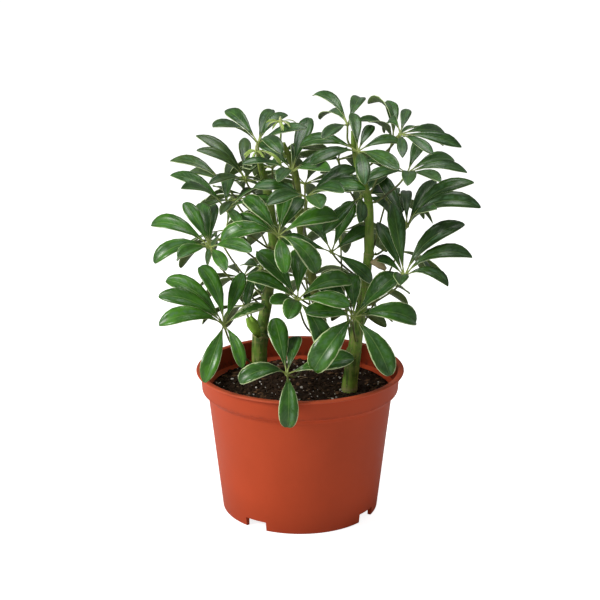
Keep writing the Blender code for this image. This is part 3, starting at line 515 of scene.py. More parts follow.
class Neighbours:
    """Everything grown so far, as trees that a new piece is tested against."""

    def __init__(self):
        self.pieces = []

    def add(self, owner, verts, faces):
        self.pieces.append((owner, *corners(verts), BVHTree.FromPolygons(verts, faces)))

    def hits(self, verts, faces, skip=()):
        low, high = corners(verts)
        tree = None
        for owner, a, b, other in self.pieces:
            if owner in skip:
                continue
            if any(low[i] > b[i] or high[i] < a[i] for i in range(3)):
                continue
            if tree is None:
                tree = BVHTree.FromPolygons(verts, faces)
            if tree.overlap(other):
                return True
        return False


def touches_pot(points, margin):
    """True where a point lies in the soil or in the pot's wall."""
    for point in points:
        radius = math.hypot(point.x, point.y)
        if radius < BAND_RADIUS and point.z < SOIL_CROWN + margin:
            return True
        in_wall = BAND_RADIUS - WALL - margin < radius < LIP_RADIUS + margin
        if in_wall and point.z < RIM_HEIGHT + margin:
            return True
    return False


def add_stems(near):
    """Eight-sided sleeves round the stems, a little wider than they are."""
    for key, stem in STEMS.items():
        points = [Vector(p[:3]) * MM for p in stem.points]
        verts = []
        faces = []
        for n, (center, side, normal, _) in enumerate(tube_sections(points, 0.0)):
            radius = stem.points[n][3] * MM * STEM_SLEEVE
            for k in range(8):
                angle = math.radians(45 * k)
                verts.append(center + (side * math.cos(angle) + normal * math.sin(angle)) * radius)
            if n:
                base = 8 * n
                for k in range(8):
                    j = (k + 1) % 8
                    faces.append((base - 8 + k, base - 8 + j, base + j, base + k))
        near.add(key, verts, faces)


def add_hub(number, frond, near):
    """A small box round a hub."""
    center = Vector(frond.hub) * MM
    up = Vector((0.0, 0.0, HUB_RADIUS + CLEARANCE))
    box = tube_sections([center - up, center + up], HUB_RADIUS)
    near.add(("joint", number), *prism(box, 0.0, HUB_RADIUS, HUB_RADIUS))


def grow_petiole(number, frond, near):
    """The first way for a petiole that is clear, or None."""
    wide = PETIOLE_SLEEVE + CLEARANCE
    for drop, bow in SWAYS:
        line = petiole_line(frond, drop * MM, bow)
        verts, faces = prism(tube_sections(line, PETIOLE_SLEEVE), CLEARANCE, wide, wide)
        if touches_pot(line[2:], PETIOLE_MARGIN):
            continue
        if not near.hits(verts, faces, skip=(frond.stem, ("joint", number))):
            return line
    return None


def grow_leaflet(number, frond, leaf, near):
    """The place nearest to the one wanted where a leaflet is clear, or None."""
    own = ("joint", number)
    depth = LEAFLET_THICKNESS + CLEARANCE
    for lift, swing, roll, size in MOVES:
        moved = Leaflet(leaf.bearing + swing, leaf.length * size, leaf.rise + lift, leaf.arch)
        sections = leaflet_line(frond, moved, roll)
        verts, faces = prism(sections[1:], CLEARANCE, CLEARANCE, depth)
        if touches_pot(verts, LEAFLET_MARGIN) or near.hits(verts, faces, skip=(own,)):
            continue
        verts, faces = prism(sections[:2], CLEARANCE, CLEARANCE, depth)
        if not near.hits(verts, faces, skip=(own, ("blade", number))):
            return sections, moved, roll
    return None


def grow(fronds):
    """Every frond's petiole line, and its leaflets with their rolls, bent clear of one another."""
    draw = random.Random(GROWTH_SEED)
    near = Neighbours()
    add_stems(near)
    for number, frond in enumerate(fronds):
        add_hub(number, frond, near)
    petioles = []
    for number, frond in enumerate(fronds):
        line = grow_petiole(number, frond, near)
        if line is None:
            line = petiole_line(frond, 0.0, 0.0)
        sections = tube_sections(line, PETIOLE_SLEEVE)
        near.add(("joint", number), *prism(sections, 0.0, PETIOLE_SLEEVE, PETIOLE_SLEEVE))
        petioles.append(line)
    # the listed leaflets of every frond take their places before those that fill the gaps
    queue = []
    for number, frond in enumerate(fronds):
        for place, leaf in enumerate(whorl(frond, draw)):
            queue.append((place >= len(frond.leaflets), number, leaf))
    queue.sort(key=lambda item: item[0])
    whorls = [[] for _ in fronds]
    for _, number, leaf in queue:
        found = grow_leaflet(number, fronds[number], leaf, near)
        if found:
            sections, moved, roll = found
            blade = prism(sections[1:], 0.0, 0.0, LEAFLET_THICKNESS, tip=True)
            near.add(("blade", number), *blade)
            near.add(("joint", number), *prism(sections[:2], 0.0, 0.0, LEAFLET_THICKNESS))
            whorls[number].append((moved, roll))
    return petioles, whorls


# ---------------------------------------------------------------- camera, floor and light

def hang(data, place, turn):
    """The camera or a lamp, put in its place and turned."""
    holder = bpy.data.objects.new(data.name, data)
    holder.location = place
    holder.rotation_euler = turn
    bpy.context.scene.collection.objects.link(holder)
    return holder


def set_camera():
    """The camera, a little above the plant and looking down at it."""
    eye = bpy.data.cameras.new("camera")
    eye.lens, eye.sensor_width = LENS, SENSOR
    eye.clip_start, eye.clip_end = CAMERA_CLIP
    turn = (math.radians(90.0 - CAMERA_DROP), 0.0, 0.0)
    bpy.context.scene.camera = hang(eye, CAMERA_PLACE, turn)


def hang_softbox(box):
    """A round lamp that looks at its target."""
    lamp = bpy.data.lights.new(box.name, "AREA")
    lamp.shape = "DISK"
    lamp.size = box.size
    lamp.energy = box.power
    lamp.color = box.color
    aim = Vector(box.target) - Vector(box.place)
    hang(lamp, box.place, aim.to_track_quat("-Z", "Y").to_euler())


def set_studio():
    """A white backdrop, an even pale light from all round, and three softboxes."""
    scene = bpy.context.scene
    scene.view_settings.view_transform = "Standard"
    scene.view_settings.look = "None"
    air = bpy.data.worlds.new("studio")
    air.use_nodes = True
    bench = Bench(air.node_tree)
    room = bench.add("ShaderNodeBackground", {"Color": WHITE, "Strength": ROOM_LIGHT})
    backdrop = bench.add("ShaderNodeBackground", {"Color": WHITE, "Strength": BACKDROP})
    both = bench.add("ShaderNodeMixShader",
                     {0: bench.camera_ray(), 1: room.outputs[0], 2: backdrop.outputs[0]})
    bench.feed(air.node_tree.nodes["World Output"], {"Surface": both.outputs[0]})
    scene.world = air
    for box in SOFTBOXES:
        hang_softbox(box)


def set_floor():
    """The wide white floor the plant stands on."""
    work = bmesh.new()
    bmesh.ops.create_grid(work, x_segments=1, y_segments=1, size=FLOOR_REACH)
    floor = finished("studio_floor", work, [plain_floor()])


# ---------------------------------------------------------------- node writing

class Bench:
    """Writes the nodes of one tree: values that are sockets are linked, others are set."""

    def __init__(self, tree):
        self.tree = tree

    def add(self, kind, inputs=None, **settings):
        node = self.tree.nodes.new(kind)
        for name, value in settings.items():
            setattr(node, name, value)
        self.feed(node, inputs or {})
        return node

    def feed(self, node, inputs):
        for key, value in inputs.items():
            socket = node.inputs[key]
            if isinstance(value, bpy.types.NodeSocket):
                self.tree.links.new(value, socket)
            elif isinstance(value, tuple) and len(value) == 3 and socket.type == "RGBA":
                socket.default_value = (*value, 1.0)
            else:
                socket.default_value = value

    def math(self, operation, a, b=0.0):
        return self.add("ShaderNodeMath", {0: a, 1: b}, operation=operation).outputs[0]

    def times(self, value, *others):
        for other in others:
            value = self.math("MULTIPLY", value, other)
        return value

    def plus(self, a, b):
        return self.math("ADD", a, b)

    def less(self, a, b):
        return self.math("SUBTRACT", a, b)

    def span(self, value, low, high, to_low=0.0, to_high=1.0, kind="SMOOTHSTEP"):
        ends = {"Value": value, 1: low, 2: high, 3: to_low, 4: to_high}
        return self.add("ShaderNodeMapRange", ends, interpolation_type=kind).outputs[0]

    def mix(self, share, a, b):
        return self.add("ShaderNodeMix", {0: share, 6: a, 7: b}, data_type="RGBA").outputs[2]

    def overlay(self, color, pattern, *layers):
        """The colour with parts of a pattern over it, each as (part, strength, colour)."""
        for part, strength, over in layers:
            color = self.mix(self.times(pattern[part], strength), color, over)
        return color

    def noise(self, place, scale, detail=2.0, roughness=0.5):
        grain = {"Vector": place, "Scale": scale, "Detail": detail, "Roughness": roughness}
        return self.add("ShaderNodeTexNoise", grain).outputs["Fac"]

    def ramp(self, share, *stops):
        node = self.add("ShaderNodeValToRGB", {"Fac": share})
        points = node.color_ramp.elements
        while len(points) < len(stops):
            points.new(0.5)
        for point, (spot, color) in zip(points, stops):
            point.position = spot
            point.color = (*color, 1.0)
        return node.outputs["Color"]

    def bump(self, height, strength, distance):
        relief = {"Height": height, "Strength": strength, "Distance": distance}
        return self.add("ShaderNodeBump", relief).outputs["Normal"]

    def object_place(self):
        return self.add("ShaderNodeTexCoord").outputs["Object"]

    def camera_ray(self):
        return self.add("ShaderNodeLightPath").outputs["Is Camera Ray"]

    def mark(self, name):
        """A number kept on the mesh."""
        return self.add("ShaderNodeAttribute", attribute_name=name).outputs["Fac"]

    def marks(self, name):
        """Three numbers kept on the mesh as one colour."""
        color = self.add("ShaderNodeAttribute", attribute_name=name).outputs["Color"]
        return self.add("ShaderNodeSeparateColor", {"Color": color}).outputs[:3]

    def group(self, tree, **inputs):
        """A node group's outputs; its inputs are given with _ for each space."""
        given = {name.replace("_", " ").title(): value for name, value in inputs.items()}
        return self.add("ShaderNodeGroup", given, node_tree=tree).outputs


def new_finish(name, color, roughness):
    """A material, its bench and its Principled shader."""
    made = bpy.data.materials.new(name)
    made.use_nodes = True
    made.diffuse_color = (*color, 1.0)
    bench = Bench(made.node_tree)
    shader = made.node_tree.nodes["Principled BSDF"]
    bench.feed(shader, {"Base Color": color, "Roughness": roughness})
    return made, bench, shader


def new_group(name, inputs, outputs):
    """A shader node group of number sockets, its bench, what comes in and its last node."""
    group = bpy.data.node_groups.new(name, "ShaderNodeTree")
    for way, labels in (("INPUT", inputs), ("OUTPUT", outputs)):
        for label in labels:
            group.interface.new_socket(name=label, in_out=way, socket_type="NodeSocketFloat")
    bench = Bench(group)
    return group, bench, bench.add("NodeGroupInput").outputs, bench.add("NodeGroupOutput")


# ---------------------------------------------------------------- finishes

def plain_floor():
    """White, and seen bright enough to run into the backdrop with no edge."""
    made, bench, shader = new_finish("studio_floor", (0.8, 0.8, 0.8), 0.9)
    bench.feed(shader, {"Emission Color": WHITE,
                        "Emission Strength": bench.times(bench.camera_ray(), FLOOR_GLOW)})
    return made


def mottle_group():
    """Blotches and a finer grain in object space, for plastic, bark and soil."""
    group, bench, given, out = new_group("mottle", ("Blotch Scale", "Grain Scale"),
                                         ("Blotch", "Grain"))
    place = bench.object_place()
    bench.feed(out, {"Blotch": bench.noise(place, given["Blotch Scale"], 3.0),
                     "Grain": bench.noise(place, given["Grain Scale"], 4.0, 0.6)})
    return group


def leaf_pattern_group():
    """Where a leaflet's cream margin, midrib and side veins lie, from its own across and along."""
    group, bench, given, out = new_group(
        "leaf_pattern", ("Margin Width",),
        ("Margin", "Patches", "Midrib", "Veins", "Streaks", "Sheen", "Shade", "Gold"))
    side, along, seed = bench.marks("leaf_place")
    shade, margin, gold = bench.marks("leaf_look")
    across = bench.add("ShaderNodeMath", {0: side, 1: 2.0, 2: -1.0},
                       operation="MULTIPLY_ADD").outputs[0]
    width = bench.math("ABSOLUTE", across)
    # a place on the blade in leaf space, its own for each leaflet
    spot = bench.add("ShaderNodeCombineXYZ", {0: bench.times(across, 0.9),
                                              1: bench.times(along, 5.0),
                                              2: bench.times(seed, 57.0)}).outputs[0]
    ragged = bench.noise(spot, 2.2, 3.0, 0.6)
    # the cream margin: where the distance to the edge is less than a ragged width
    reach = bench.times(margin, given["Margin Width"],
                        bench.span(ragged, 0.32, 0.68, 0.35, 1.8, "LINEAR"))
    inward = bench.math("DIVIDE", bench.less(1.0, width), bench.math("MAXIMUM", reach, 0.001))
    # now and then a cream patch runs in from the edge
    inroad = bench.plus(bench.noise(spot, 1.5, 2.0), bench.times(width, 0.22))
    patches = bench.times(bench.span(margin, 1.2, 1.8), bench.span(inroad, 0.66, 0.72))
    # the midrib tapers to the tip, and the side veins slant away from it
    rib = bench.math("DIVIDE", width, bench.span(along, 0.1, 0.95, 0.085, 0.026, "LINEAR"))
    slant = bench.less(bench.times(along, VEIN_PAIRS), bench.times(width, VEIN_SLANT))
    wave = bench.math("SINE", bench.times(slant, 6.283))
    # painted highlight: a pale sheen down the middle of each half, stronger on one half than on the
    # other, painting that half as the lit one
    off = bench.math("ABSOLUTE", bench.less(width, 0.36))
    band = bench.less(1.0, bench.times(off, 3.0))
    lean = bench.times(across, bench.less(bench.times(seed, 2.0), 1.0))
    bloom = bench.times(bench.span(band, 0.0, 1.0), bench.span(ragged, 0.38, 0.62),
                        bench.span(lean, -0.3, 0.3, 0.3, 1.7), bench.span(along, 0.2, 0.45))
    bench.feed(out, {"Margin": bench.span(bench.less(1.0, inward), -0.15, 0.25),
                     "Patches": patches,
                     "Midrib": bench.span(bench.less(1.0, rib), -0.3, 0.7),
                     "Veins": bench.span(wave, 0.72, 1.0),
                     "Streaks": bench.noise(spot, 0.9, 2.0),
                     "Sheen": bloom, "Shade": shade, "Gold": gold})
    return group


def pot_plastic(mottle):
    """Terracotta plastic: a painted highlight on the lip, painted shade towards the foot and on the
    inside of the wall, and splashed with soil inside.
    """
    made, bench, shader = new_finish("terracotta_plastic", (0.56, 0.085, 0.032), 0.42)
    marks = bench.group(mottle, blotch_scale=22.0, grain_scale=900.0)
    clay = bench.ramp(marks["Blotch"], (0.3, (0.53, 0.071, 0.021)), (0.7, (0.60, 0.082, 0.026)))
    place = bench.object_place()
    x, y, height = bench.add("ShaderNodeSeparateXYZ", {0: place}).outputs[:3]
    radius = bench.math("SQRT", bench.plus(bench.times(x, x), bench.times(y, y)))
    # painted highlight: the top of the lip is made paler
    lip = bench.span(height, RIM_HEIGHT - 3.2 * MM, RIM_HEIGHT - 1.0 * MM)
    clay = bench.mix(bench.times(lip, 0.4), clay, (0.66, 0.135, 0.060))
    # painted shade: the bottom of the body is a little darker
    foot = bench.span(height, 0.0, 30 * MM, 0.22, 0.0)
    clay = bench.mix(foot, clay, (0.30, 0.045, 0.018))
    # painted shade darkens the inside of the wall, and splashes of soil on it thin out above the
    # soil
    wall, band = BAND_RADIUS - WALL, RIM_HEIGHT - BAND_HEIGHT
    inside = bench.times(bench.span(radius, wall + 0.2 * MM, wall + 0.9 * MM, 1.0, 0.0),
                         bench.span(height, band + 0.2 * MM, band + 0.9 * MM))
    clay = bench.mix(bench.times(inside, 0.55), clay, (0.22, 0.028, 0.011))
    low = bench.span(height, SOIL_EDGE, SOIL_EDGE + 10 * MM, 1.0, 0.0)
    splash = bench.span(bench.noise(place, 260.0, 3.0), 0.42, 0.62)
    clay = bench.mix(bench.times(inside, low, splash, 0.75), clay, (0.05, 0.022, 0.014))
    bench.feed(shader, {"Base Color": clay,
                        "Roughness": bench.span(marks["Blotch"], 0.3, 0.7, 0.40, 0.52),
                        "Normal": bench.bump(marks["Grain"], 0.12, 0.12 * MM),
                        "Specular IOR Level": 0.16})
    return made


def damp_soil(mottle):
    """Dark damp soil, with a few paler grains in it."""
    made, bench, shader = new_finish("damp_soil", (0.02, 0.012, 0.008), 0.9)
    marks = bench.group(mottle, blotch_scale=90.0, grain_scale=650.0)
    earth = bench.ramp(marks["Grain"], (0.35, (0.007, 0.003, 0.001)),
                       (0.55, (0.026, 0.013, 0.006)), (0.72, (0.085, 0.048, 0.024)))
    earth = bench.mix(bench.span(marks["Blotch"], 0.45, 0.65), earth, (0.03, 0.017, 0.011))
    bench.feed(shader, {"Base Color": earth,
                        "Roughness": bench.span(marks["Grain"], 0.3, 0.7, 0.65, 0.95),
                        "Normal": bench.bump(marks["Grain"], 0.8, 0.8 * MM),
                        "Specular IOR Level": 0.15})
    return made


def crumb_finish(mottle, name, dark, light, roughness):
    """Matt crumbs, chips and dry scraps, between a dark and a light shade."""
    made, bench, shader = new_finish(name, light, roughness)
    marks = bench.group(mottle, blotch_scale=160.0, grain_scale=1400.0)
    uneven = bench.span(marks["Grain"], 0.3, 0.7, roughness - 0.15, roughness)
    bench.feed(shader, {"Base Color": bench.mix(marks["Blotch"], dark, light),
                        "Roughness": uneven,
                        "Normal": bench.bump(marks["Grain"], 0.5, 0.3 * MM),
                        "Specular IOR Level": 0.2})
    return made


def green_bark(mottle, name, dark, light):
    """Green stem bark: scars from the stem_scar attribute, lengthwise streaks and corky flecks."""
    made, bench, shader = new_finish(name, light, 0.5)
    marks = bench.group(mottle, blotch_scale=75.0, grain_scale=420.0)
    grain = marks["Grain"]
    place = bench.object_place()
    long = bench.add("ShaderNodeMapping", {"Vector": place, "Scale": (1.0, 1.0, 0.16)}).outputs[0]
    streak = bench.noise(long, 420.0, 3.0)
    bark = bench.ramp(marks["Blotch"], (0.40, dark), (0.58, light))
    bark = bench.mix(bench.span(streak, 0.5, 0.68, 0.0, 0.55), bark, (0.33, 0.38, 0.08))
    bark = bench.mix(bench.span(streak, 0.32, 0.46, 0.7, 0.0), bark, (0.035, 0.05, 0.006))
    # the upper part of the stem is this year's and still yellow-green
    height = bench.add("ShaderNodeSeparateXYZ", {0: place}).outputs[2]
    bark = bench.mix(bench.span(height, 180 * MM, 225 * MM, 0.0, 0.4), bark, (0.20, 0.34, 0.035))
    bark = bench.mix(bench.span(grain, 0.60, 0.66, 0.0, 0.7), bark, (0.32, 0.26, 0.12))
    corky = bench.times(bench.mark("stem_scar"), bench.span(grain, 0.3, 0.6, 0.45, 1.0))
    bark = bench.mix(corky, bark, (0.36, 0.34, 0.13))
    rough = bench.plus(bench.times(streak, 0.8), grain)
    bench.feed(shader, {"Base Color": bark,
                        "Roughness": bench.span(grain, 0.3, 0.7, 0.45, 0.7),
                        "Normal": bench.bump(rough, 0.6, 0.6 * MM),
                        "Specular IOR Level": 0.35})
    return made


def leaf_top(pattern, name, tint):
    """The glossy upper side: deep to fresh green, a pale midrib, faint veins and a cream edge."""
    made, bench, shader = new_finish(name, tint.deep, tint.roughness)
    leaf = bench.group(pattern, margin_width=tint.margin)
    streaks = leaf["Streaks"]
    green = bench.mix(leaf["Shade"], tint.deep, tint.fresh)
    lighter = bench.mix(0.35, green, tint.fresh)
    green = bench.mix(bench.span(streaks, 0.35, 0.7, 0.0, 0.7), green, lighter)
    green = bench.overlay(green, leaf, ("Gold", 0.5, (0.075, 0.10, 0.02)))
    green = bench.mix(bench.span(streaks, 0.42, 0.62, 0.45, 0.0), green, tint.deep)
    # laid over in turn: the painted highlight down each half, then the veins, the midrib and the
    # cream
    green = bench.overlay(green, leaf, ("Sheen", 0.5, tint.bloom), ("Veins", 0.10, tint.vein),
                          ("Midrib", 0.6, tint.vein), ("Margin", 1.0, tint.cream),
                          ("Patches", 0.85, tint.cream))
    uneven = bench.noise(bench.object_place(), 160.0, 2.0)
    relief = bench.plus(bench.times(leaf["Veins"], -0.35), bench.times(leaf["Midrib"], -0.8))
    relief = bench.plus(relief, bench.times(uneven, 0.6))
    polish = bench.span(uneven, 0.3, 0.7, tint.roughness - 0.05, tint.roughness + 0.08)
    bench.feed(shader, {"Base Color": green, "Roughness": polish,
                        "Normal": bench.bump(relief, 0.35, 0.5 * MM),
                        "Coat Weight": tint.coat, "Coat Roughness": 0.28,
                        "Specular IOR Level": 0.3})
    return made


def leaf_under(pattern, name, tint):
    """The matt underside: paler, with the midrib and the side veins standing out."""
    made, bench, shader = new_finish(name, tint.shade, 0.6)
    leaf = bench.group(pattern, margin_width=tint.margin)
    pale = bench.mix(bench.span(leaf["Streaks"], 0.3, 0.7, 0.0, 0.3), tint.shade, tint.vein)
    pale = bench.overlay(pale, leaf, ("Veins", 0.25, tint.vein), ("Midrib", 0.9, tint.vein),
                         ("Margin", 1.0, tint.cream))
    relief = bench.plus(bench.times(leaf["Veins"], 0.4), leaf["Midrib"])
    bench.feed(shader, {"Base Color": pale, "Normal": bench.bump(relief, 0.4, 0.5 * MM)})
    return made


def stalk_finish(mottle, name, tint):
    """Olive stalks, paler where stalk_joint marks the hub and the leaflets' own short stalks."""
    made, bench, shader = new_finish(name, tint.light, 0.45)
    marks = bench.group(mottle, blotch_scale=70.0, grain_scale=500.0)
    skin = bench.mix(bench.span(marks["Blotch"], 0.35, 0.65), tint.dark, tint.light)
    skin = bench.mix(bench.mark("stalk_joint"), skin, tint.joint)
    bench.feed(shader, {"Base Color": skin, "Normal": bench.bump(marks["Grain"], 0.2, 0.2 * MM)})
    return made


# ---------------------------------------------------------------- pieces

def finished(name, work, finishes):
    """The bmesh as an object at the origin, smooth, with its materials."""
    mesh = bpy.data.meshes.new(name)
    work.to_mesh(mesh)
    work.free()
    for finish in finishes:
        mesh.materials.append(finish)
    mesh.shade_smooth()
    piece = bpy.data.objects.new(name, mesh)
    bpy.context.scene.collection.objects.link(piece)
    return piece


def placed(name, work, finishes, slot, *nodes):
    """A finished piece that rides the plant's one body, hiding the parts it stands in for; slot is
    not used.
    """
    piece = finished(name, work, finishes)
    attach(piece, "root")
    if nodes:
        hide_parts(*nodes)
    return piece


def pot_profile():
    """The pot's closed outline, (radius, height), from the middle of the floor and back to it."""
    band_foot = RIM_HEIGHT - BAND_HEIGHT
    body_top = band_foot - STEP_HEIGHT
    lip = LIP_THICKNESS / 2
    under_lip = RIM_HEIGHT - LIP_THICKNESS
    floor = BASE_LIFT + WALL
    inner_foot = body_radius(floor) - WALL
    inner_band = BAND_RADIUS - WALL
    ring = FOOT_RADIUS - RING_THICKNESS
    inside = [(0.0, WALL), (PAD_RADIUS - WALL, WALL), (PAD_RADIUS - WALL, floor),
              (inner_foot - 1.5 * MM, floor), (inner_foot, floor + 1.5 * MM),
              (BODY_RADIUS - WALL, body_top + 0.8 * MM),
              (BAND_FOOT_RADIUS - WALL, band_foot + 0.8 * MM),
              (inner_band, RIM_HEIGHT - 1.6 * MM),
              (inner_band + 0.3 * MM, RIM_HEIGHT - 0.5 * MM), (inner_band + 1.1 * MM, RIM_HEIGHT)]
    rim = []
    for k in range(9):
        angle = math.pi / 2 - math.pi * k / 8
        rim.append((LIP_RADIUS - lip + lip * math.cos(angle),
                    RIM_HEIGHT - lip + lip * math.sin(angle)))
    outside = [(BAND_RADIUS + 0.9 * MM, under_lip - 0.05 * MM),
               (BAND_RADIUS + 0.2 * MM, under_lip - 0.35 * MM),
               (BAND_RADIUS - 0.05 * MM, under_lip - 1.2 * MM),
               (BAND_FOOT_RADIUS, band_foot + 1.0 * MM),
               (BAND_FOOT_RADIUS - 0.25 * MM, band_foot + 0.15 * MM),
               (BAND_FOOT_RADIUS - 1.0 * MM, band_foot - 0.5 * MM),
               (BODY_RADIUS + 1.0 * MM, body_top + 1.0 * MM),
               (BODY_RADIUS + 0.2 * MM, body_top), (BODY_RADIUS - 0.1 * MM, body_top - 1.2 * MM)]
    outside += [(body_radius(z), z) for z in (60 * MM, 30 * MM, NOTCH_HEIGHT)]
    for k in range(5):
        angle = math.pi / 2 * k / 4
        outside.append((body_radius(FOOT_ROUNDING) - FOOT_ROUNDING * (1.0 - math.cos(angle)),
                        FOOT_ROUNDING * (1.0 - math.sin(angle))))
    under = [(ring, 0.0), (ring, NOTCH_HEIGHT), (ring, BASE_LIFT), (PAD_RADIUS, BASE_LIFT),
             (PAD_RADIUS, 0.0), (0.0, 0.0)]
    return inside + rim + outside + under


def open_notch(work, bearing):
    """A drainage notch cut through the foot ring, with its edges closed again."""
    step = 360.0 / POT_STEPS
    half = math.degrees(math.asin(NOTCH_WIDTH / 2 / FOOT_RADIUS))
    ring = FOOT_RADIUS - RING_THICKNESS - 0.5 * MM
    opened = []
    for face in work.faces:
        middle = face.calc_center_median()
        turn = math.degrees(math.atan2(middle.x, -middle.y)) - bearing
        turn = (turn + 180.0) % 360.0 - 180.0
        if (abs(turn) < round(half / step) * step and middle.z < NOTCH_HEIGHT - TOUCH
                and math.hypot(middle.x, middle.y) > ring):
            opened.append(face)
    bmesh.ops.delete(work, geom=opened, context="FACES")
    above = [edge for edge in work.edges if edge.is_boundary
             and all(abs(vert.co.z - NOTCH_HEIGHT) < TOUCH for vert in edge.verts)]
    bmesh.ops.bridge_loops(work, edges=above)
    open_edges = [edge for edge in work.edges if edge.is_boundary]
    bmesh.ops.holes_fill(work, edges=open_edges, sides=0)


def make_pot(finish):
    """The turned pot, with the drainage notches opened in its foot ring."""
    work = bmesh.new()
    points = pot_profile()
    vert = bmesh.ops.create_vert(work, co=(points[0][0], 0.0, points[0][1]))["vert"][0]
    for radius, height in points[1:]:
        vert = bmesh.ops.extrude_vert_indiv(work, verts=[vert])["verts"][0]
        vert.co = (radius, 0.0, height)
    # a step of the turning falls on either side of every notch
    bmesh.ops.rotate(work, verts=work.verts, cent=(0, 0, 0),
                     matrix=Matrix.Rotation(math.radians(NOTCH_BEARINGS[0] - 90.0), 3, "Z"))
    bmesh.ops.spin(work, geom=work.verts[:] + work.edges[:], cent=(0, 0, 0), axis=(0, 0, 1),
                   angle=2 * math.pi, steps=POT_STEPS, use_merge=True)
    bmesh.ops.remove_doubles(work, verts=work.verts, dist=TOUCH)
    bmesh.ops.dissolve_degenerate(work, edges=work.edges, dist=TOUCH / 2)
    bmesh.ops.recalc_face_normals(work, faces=work.faces)
    for bearing in NOTCH_BEARINGS:
        open_notch(work, bearing)
    bmesh.ops.recalc_face_normals(work, faces=work.faces)
    piece = placed("pot_shell", work, [finish], "pot", "pot")
    piece.data.set_sharp_from_angle(angle=math.radians(40.0))


def smooth_line(points, steps):
    """A line eased through the points, as (place, share of the way along)."""
    ends = [points[0] * 2 - points[1]] + list(points) + [points[-1] * 2 - points[-2]]
    line = []
    last = len(points) - 1
    for n in range(last):
        a, b, c, d = ends[n:n + 4]
        for k in range(steps):
            t = k / steps
            place = b * 2 + (c - a) * t + (a * 2 - b * 5 + c * 4 - d) * t ** 2
            place += (b * 3 - a - c * 3 + d) * t ** 3
            line.append((place * 0.5, (n + t) / last))
    line.append((points[-1].copy(), 1.0))
    return line


def heading(line, n):
    """The way a line runs at its point n."""
    return (line[min(n + 1, len(line) - 1)] - line[max(n - 1, 0)]).normalized()


def run_tube(work, line, radii, sides, finish=0, ripple=None):
    """A closed tube along the line, extruded ring by ring from a circle."""
    ring = bmesh.ops.create_circle(work, cap_ends=True, radius=1.0, segments=sides)["verts"]
    edges = list({edge for vert in ring for edge in vert.link_edges})
    side = (line[1] - line[0]).orthogonal().normalized()
    older = []
    rings = []
    for n, point in enumerate(line):
        ahead = heading(line, n)
        side = (side - ahead * side.dot(ahead)).normalized()
        other = ahead.cross(side)
        if n:
            grown = bmesh.ops.extrude_edge_only(work, edges=edges)["geom"]
            edges = [item for item in grown if isinstance(item, bmesh.types.BMEdge)
                     and all(vert not in ring for vert in item.verts)]
            fresh = []
            for vert in ring:
                ends = (edge.other_vert(vert) for edge in vert.link_edges)
                fresh.append(next(end for end in ends if end not in ring and end not in older))
            older, ring = ring, fresh
        for k, vert in enumerate(ring):
            angle = 2 * math.pi * k / sides
            radius = radii[n] * (ripple(n, k) if ripple else 1.0)
            vert.co = point + (side * math.cos(angle) + other * math.sin(angle)) * radius
        rings.append(ring)
    work.faces.new(list(reversed(ring)))
    faces = {face for ring in rings for vert in ring for face in vert.link_faces}
    for face in faces:
        face.material_index = finish
    bmesh.ops.recalc_face_normals(work, faces=list(faces))
    return rings


# ---------------------------------------------------------------- leaves

def blade_half(share):
    """Share of a blade's half width at a share of the leaflet's length."""
    for (a, low), (b, high) in zip(BLADE_OUTLINE, BLADE_OUTLINE[1:]):
        if share <= b:
            t = (share - a) / (b - a)
            return low + (high - low) * max(0.0, t)
    return BLADE_OUTLINE[-1][1]


def at_share(path, share):
    """Centre, side and normal at a share of a leaflet's length."""
    spot = min(max(share, 0.0), 1.0) * (len(path) - 1)
    n = min(int(spot), len(path) - 2)
    return tuple(a.lerp(b, spot - n) for a, b in zip(path[n], path[n + 1]))


def leaflet_path(frond, leaf, roll):
    """The leaflet's whole curve, as (centre, side, normal) at even steps."""
    stations = tuple((k / LEAFLET_STEPS, 1.0) for k in range(LEAFLET_STEPS + 1))
    return [section[:3] for section in leaflet_line(frond, leaf, roll, stations)]


